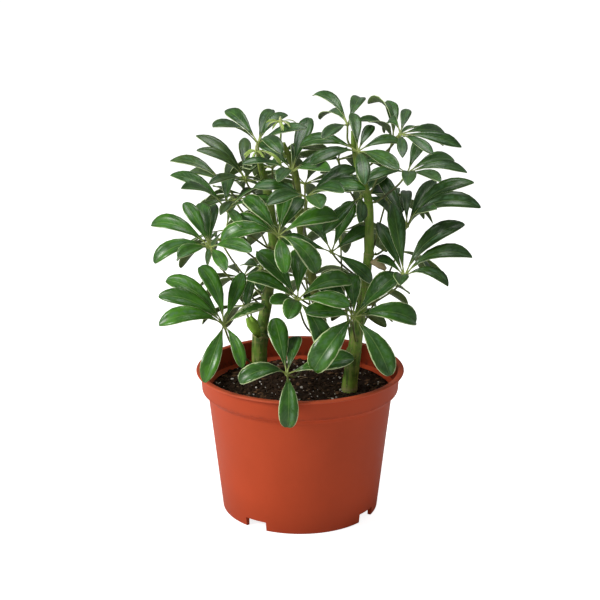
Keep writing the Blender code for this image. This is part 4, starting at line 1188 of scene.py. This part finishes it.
def grow_blade(work, layers, frond, leaf, path, draw, look):
    """One leaflet's blade: a grid laid along its curve, folded at the midrib and thickened."""
    half = leaf.length * MM * frond.width / 2 * look.slim * draw.uniform(0.95, 1.05)
    seed = draw.random()
    wave = draw.uniform(0.0, 6.28)
    wavy = draw.uniform(*MARGIN_WAVE)
    fold = draw.uniform(*MIDRIB_FOLD)
    sickle = draw.uniform(-0.05, 0.05) * half
    # a slim blade runs out to a point, a broad one has a rounded tip
    point = draw.uniform(0.0, 0.35) + (0.25 if look.slim < 0.8 else 0.0)
    if look.slim > 0.95:
        point *= 0.3
    verts = bmesh.ops.create_grid(work, x_segments=LEAFLET_COLUMNS, y_segments=LEAFLET_ROWS,
                                  size=1.0)["verts"]
    for vert in verts:
        across = vert.co.x
        row = (vert.co.y + 1.0) / 2.0
        share = BLADE_FROM + (1.0 - BLADE_FROM) * (1.0 - (1.0 - row) ** TIP_CROWDING)
        center, side, normal = at_share(path, share * BLADE_REACH)
        wide = half * blade_half(share) * (1.0 - point * max(0.0, (share - 0.7) / 0.3) ** 2)
        groove = fold * (abs(across) - 0.45 * across ** 2)
        phase = wave + 9.0 * share + (1.2 if across > 0 else 0.0)
        ripple = wavy * math.sin(phase) * abs(across) ** 2
        vert.co = (center + side * (across * wide + sickle * math.sin(math.pi * share))
                   + normal * (wide * (groove + ripple) - BLADE_SINK))
        vert[layers.place] = ((across + 1.0) / 2.0, share, seed, 1.0)
        vert[layers.look] = (look.tone, look.margin, look.gold, 1.0)
    top = {face for vert in verts for face in vert.link_faces}
    up = at_share(path, 0.6)[2]
    bmesh.ops.recalc_face_normals(work, faces=list(top))
    if sum(face.normal.dot(up) for face in top) < 0:
        bmesh.ops.reverse_faces(work, faces=list(top))
    made = bmesh.ops.solidify(work, geom=list(top), thickness=BLADE_THICKNESS)["geom"]
    shell = top | {item for item in made if isinstance(item, bmesh.types.BMFace)}
    shell = [face for face in shell if face.is_valid]
    bmesh.ops.recalc_face_normals(work, faces=shell)
    for face in shell:
        row = sum(vert[layers.place][1] for vert in face.verts) / len(face.verts)
        upward = face.normal.dot(at_share(path, row * BLADE_REACH)[2])
        face.material_index = 0 if upward > UNDERSIDE_BELOW else 1


def grow_leaflet_stalk(work, layers, path, radius):
    """A leaflet's own short stalk, tapering away under the foot of its midrib."""
    line = [at_share(path, share * BLADE_REACH)[0] - at_share(path, share)[2] * STALK_DROP
            for share, _, _ in LEAFLET_STALK_TAPER]
    radii = [radius * width for _, width, _ in LEAFLET_STALK_TAPER]
    for ring, (_, _, pale) in zip(run_tube(work, line, radii, 6, STALK), LEAFLET_STALK_TAPER):
        for vert in ring:
            vert[layers.joint] = pale


def grow_frond_stalk(work, layers, petiole):
    """A frond's long stalk, wider and paler where it leaves the stem and at the hub."""
    way = smooth_line(petiole, 4)
    radii = []
    for _, share in way:
        foot = math.exp(-(share / 0.12) ** 2)
        head = math.exp(-((1.0 - share) / 0.05) ** 2)
        radii.append(PETIOLE_RADIUS * (0.92 - 0.12 * share + 0.55 * foot + 0.35 * head))
    rings = run_tube(work, [point for point, _ in way], radii, 8, STALK)
    for ring, (_, share) in zip(rings, way):
        pale = 0.75 * max(0.0, (share - 0.8) / 0.2) + 0.3 * max(0.0, (0.08 - share) / 0.08)
        for vert in ring:
            vert[layers.joint] = pale


def grow_hub(work, layers, hub, out, radius):
    """The little flattened knob the leaflets spring from."""
    knob = bmesh.ops.create_icosphere(work, subdivisions=2, radius=1.0)["verts"]
    turn = out.to_track_quat("Z", "Y").to_matrix()
    for vert in knob:
        spot = Vector((vert.co.x * radius, vert.co.y * radius, vert.co.z * radius * 0.8))
        vert.co = hub + turn @ spot
        vert[layers.joint] = 0.7
    for face in {face for vert in knob for face in vert.link_faces}:
        face.material_index = STALK


def grow_buds(work, hub, out, draw):
    """Folded leaflets still standing together at a growing tip."""
    for k in range(4):
        angle = 2 * math.pi * k / 4 + draw.uniform(-0.3, 0.3)
        side = Matrix.Rotation(angle, 3, out) @ out.orthogonal().normalized()
        reach = draw.uniform(4.0, 7.0) * MM
        line = [hub + out * (reach * t)
                + side * (0.9 * MM * math.sin(math.pi * min(1.0, t + 0.15)))
                for t in (0.0, 0.25, 0.5, 0.75, 1.0)]
        run_tube(work, line, [0.5 * MM, 0.65 * MM, 0.6 * MM, 0.4 * MM, 0.12 * MM], 6)


def frond_look(frond, draw):
    """How slim a frond's blades are, how fresh its green, how wide its cream margins, how gold."""
    x, y, z = frond.hub
    slim = 0.92
    fresh = 0.2 + draw.uniform(-0.12, 0.16)
    margin = draw.uniform(0.0, 0.4 if x < 45 else 0.2)
    gold = draw.uniform(0.0, 0.35)
    if z < 200 and x < -30 and y < 0:
        # the bright frond low on the left: its fresh green is in part painted light, from the key
        # light falling on it from the left
        slim, fresh, margin, gold = 0.80, 0.72, 0.3, 0.0
    elif z < 240 and x < -50 and y < 0:
        # the one above it
        slim, fresh, margin, gold = 0.88, 0.5, 0.25, 0.0
    elif abs(x) < 60 and y < -30 and z < 240:
        # the front: broad blades with the widest cream margins
        slim = 0.99
        margin = draw.uniform(0.75, 1.0)
        fresh += 0.2
        gold = 0.0
    elif x < -40 and z > 220:
        # high on the left: slim, drooping and turning gold
        slim = 0.72
        gold = 4.0 * gold
        fresh -= 0.05
    # out on the right: its green made a little darker as painted shade, away from the key light
    elif x > 60:
        # out on the right
        slim = 0.79
        fresh -= 0.08
    elif z > 270:
        # the dark crown: its darker green is in part painted shade
        slim = 0.84
        fresh -= 0.14
    return Look(slim, max(0.0, fresh), margin, gold)


def make_frond(node, frond, petiole, leaves, draw, finishes, young):
    """A whole frond: its leaflets on their stalks, its long stalk, its hub and any buds."""
    work = bmesh.new()
    layers = Layers(work.verts.layers.float_color.new("leaf_place"),
                    work.verts.layers.float_color.new("leaf_look"),
                    work.verts.layers.float.new("stalk_joint"))
    usual = frond_look(frond, draw)
    if young:
        usual = usual._replace(slim=usual.slim * YOUNG_SLIM)
    for leaf, roll in leaves:
        tone = min(1.0, max(0.0, usual.tone + draw.uniform(-0.12, 0.12)))
        margin = usual.margin * draw.uniform(0.6, 1.4)
        if any(abs(leaf.bearing - cream) < 15.0 for cream in CREAM_LEAFLETS.get(node, ())):
            margin = CREAM_MARGIN
        path = leaflet_path(frond, leaf, roll)
        look = usual._replace(tone=tone, margin=margin)
        grow_blade(work, layers, frond, leaf, path, draw, look)
        grow_leaflet_stalk(work, layers, path, 0.5 * MM if young else 0.62 * MM)
    grow_frond_stalk(work, layers, petiole)
    hub = Vector(frond.hub) * MM
    out, _, _ = facing(frond)
    grow_hub(work, layers, hub, out, 1.4 * MM if young else 1.7 * MM)
    if young:
        grow_buds(work, hub, out, draw)
    placed(node + "_leaves", work, finishes, "young_leaf" if young else "leaf", node)


# ---------------------------------------------------------------- stems

def make_stem(stem, finish):
    """A stem with a ring of scar at each joint, over its own line."""
    way = smooth_line([Vector(p[:3]) * MM for p in stem.points], 6)
    widths = [p[3] for p in stem.points]
    last = len(widths) - 1
    # a full scar where the stem swells, and a fainter one between every two points
    joints = [n for n in range(1, last)
              if widths[n] > widths[n - 1] + 0.2 and widths[n] > widths[n + 1] + 0.2]
    extra = [n + 0.45 for n in range(2, last - 1)]
    line = []
    radii = []
    scars = []
    for point, share in way:
        spot = share * last
        n = min(int(spot), last - 1)
        t = spot - n
        width = widths[n] + (widths[n + 1] - widths[n]) * (t * t * (3 - 2 * t))
        scar = max([math.exp(-((spot - j) / 0.10) ** 2) for j in joints]
                   + [0.55 * math.exp(-((spot - j) / 0.07) ** 2) for j in extra])
        line.append(point)
        radii.append(width * MM * (1.0 + 0.03 * scar))
        scars.append(scar)
    work = bmesh.new()
    mark = work.verts.layers.float.new("stem_scar")

    def ripple(n, k):
        return 1.0 + 0.02 * noise.noise(line[n] * 260.0 + Vector((k * 0.7, 0.0, 0.0)))

    rings = run_tube(work, line, radii, 20, ripple=ripple)
    for ring, scar in zip(rings, scars):
        for vert in ring:
            vert[mark] = scar
    placed(stem.name + "_bark", work, [finish], "stem", stem.name)


def make_scale(scale, finish):
    """A thin scale or sheath of old leaf along its spots, as wide as its halves say."""
    work = bmesh.new()
    line = [Vector(spot) * MM for spot in scale.spots]
    grid = bmesh.ops.create_grid(work, x_segments=4, y_segments=len(line) - 1, size=1.0)
    for vert in grid["verts"]:
        across = vert.co.x
        n = round((vert.co.y + 1.0) / 2.0 * (len(line) - 1))
        half = scale.halves[n] * MM
        ahead = heading(line, n)
        side = ahead.cross(Vector(scale.lean)).normalized()
        up = side.cross(ahead)
        vert.co = line[n] + side * (across * half) - up * (0.5 * half * across ** 2)
    bmesh.ops.solidify(work, geom=list(work.faces), thickness=SCALE_THICKNESS)
    bmesh.ops.recalc_face_normals(work, faces=work.faces)
    placed(scale.name, work, [finish], "stem")


# ---------------------------------------------------------------- soil

def soil_height(x, y):
    """Height of the soil's uneven top."""
    radius = math.hypot(x, y)
    rise = SOIL_EDGE + (SOIL_CROWN - SOIL_EDGE) * max(0.0, 1.0 - (radius / SOIL_REACH) ** 2)
    rough = noise.fractal(Vector((x, y, 0.0)) * 90.0, 0.8, 2.0, 5)
    return rise + 0.9 * MM * rough


def make_soil(finish):
    """The crumbly top of the soil, over the plain solid."""
    work = bmesh.new()
    bmesh.ops.create_circle(work, cap_ends=True, cap_tris=True, radius=SOIL_REACH, segments=64)
    for _ in range(5):
        long = [edge for edge in work.edges if edge.calc_length() > SOIL_MESH]
        bmesh.ops.subdivide_edges(work, edges=long, cuts=1, use_grid_fill=True)
    bmesh.ops.triangulate(work, faces=work.faces)
    for vert in work.verts:
        vert.co.z = soil_height(vert.co.x, vert.co.y) + SOIL_LIFT
    bmesh.ops.recalc_face_normals(work, faces=work.faces)
    if sum(face.normal.z for face in work.faces) < 0:
        bmesh.ops.reverse_faces(work, faces=work.faces)
    bmesh.ops.solidify(work, geom=list(work.faces), thickness=SOIL_CRUST)
    bmesh.ops.recalc_face_normals(work, faces=work.faces)
    placed("soil_top", work, [finish], "soil")


def soil_spot(draw, reach):
    """A random place on the soil, this far out at most."""
    radius = reach * math.sqrt(draw.random())
    angle = draw.uniform(0.0, 2 * math.pi)
    return radius * math.cos(angle), radius * math.sin(angle)


def clear_of_stems(x, y):
    """True where no stem stands in the soil."""
    feet = (stem.points[1] for stem in STEMS.values())
    return all(math.hypot(x / MM - foot[0], y / MM - foot[1]) > foot[3] + 0.5 for foot in feet)


def strew(kind, finish, draw):
    """Crumbs, chips or grains strewn over the soil, each partly sunk into it."""
    work = bmesh.new()
    for _ in range(kind.count):
        while True:
            x, y = soil_spot(draw, SOIL_REACH)
            if math.hypot(x, y) < SOIL_REACH - EDGE_MARGIN and clear_of_stems(x, y):
                break
        size = draw.uniform(*kind.sizes) * MM
        long = size * draw.uniform(0.8, 1.6)
        thick = size * kind.flat * draw.uniform(0.7, 1.2)
        turn = Matrix.Rotation(draw.uniform(0, 6.28), 3, "Z")
        turn = turn @ Matrix.Rotation(draw.uniform(-0.5, 0.5), 3, "X")
        lump = bmesh.ops.create_icosphere(work, subdivisions=1, radius=0.5)["verts"]
        center = Vector((x, y, soil_height(x, y) + SOIL_LIFT + thick * (0.5 - kind.sink)))
        for vert in lump:
            jitter = 1.0 + draw.uniform(-0.22, 0.22)
            spot = Vector((vert.co.x * long, vert.co.y * size, vert.co.z * thick))
            vert.co = center + turn @ spot * jitter
    piece = placed(kind.name, work, [finish], "soil")
    piece.data.shade_flat()


def strew_fibres(finish, draw):
    """Short bits of root and straw lying on the soil."""
    work = bmesh.new()
    for _ in range(46):
        x, y = soil_spot(draw, SOIL_REACH * 0.93)
        turn = draw.uniform(0.0, 2 * math.pi)
        length = draw.uniform(3.0, 9.0) * MM
        curl = draw.uniform(-1.2, 1.2)
        line = []
        for k in range(5):
            if math.hypot(x, y) > SOIL_REACH - EDGE_MARGIN:
                x *= 0.97
                y *= 0.97
            line.append(Vector((x, y, soil_height(x, y) + 0.8 * MM)))
            x += math.cos(turn + curl * k / 4) * length / 4
            y += math.sin(turn + curl * k / 4) * length / 4
        run_tube(work, line, [0.22 * MM] * 4 + [0.12 * MM], 5)
    placed("soil_fibres", work, [finish], "soil")


# ---------------------------------------------------------------- the plant

def main():
    """Studio, pot, stems, fronds and soil."""
    set_camera()
    set_studio()
    set_floor()
    mottle = mottle_group()
    pattern = leaf_pattern_group()
    grown = [leaf_top(pattern, "leaf_top", LEAF_TOP),
             leaf_under(pattern, "leaf_underside", LEAF_UNDER),
             stalk_finish(mottle, "leaf_stalk", OLIVE_STALK)]
    fresh = [leaf_top(pattern, "young_leaf_top", YOUNG_TOP),
             leaf_under(pattern, "young_leaf_underside", YOUNG_UNDER),
             stalk_finish(mottle, "young_leaf_stalk", YOUNG_STALK)]

    make_pot(pot_plastic(mottle))
    solid_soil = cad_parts["soil"].data.materials
    solid_soil.clear()
    solid_soil.append(damp_soil(mottle))
    for key, stem in STEMS.items():
        make_stem(stem, green_bark(mottle, key + "_stem_bark", *stem.bark))
    for scale in SCALES:
        make_scale(scale, crumb_finish(mottle, *scale.finish))

    fronds = FRONDS + YOUNG
    for number, (frond, petiole, leaves) in enumerate(zip(fronds, *grow(fronds))):
        draw = random.Random(FROND_SEED + number)
        young = number >= len(FRONDS)
        node = f"young_frond_{number + 1 - len(FRONDS)}" if young else f"frond_{number + 1:02d}"
        leaves += [(Leaflet(*leaf), 0.0) for leaf in YOUNG_EXTRA.get(node, ())]
        make_frond(node, frond, petiole, leaves, draw, fresh if young else grown, young)

    make_soil(damp_soil(mottle))
    draw = random.Random(SOIL_SEED)
    for kind in STREWN:
        strew(kind, crumb_finish(mottle, *kind.finish), draw)
    strew_fibres(crumb_finish(mottle, *STRAW), draw)


main()
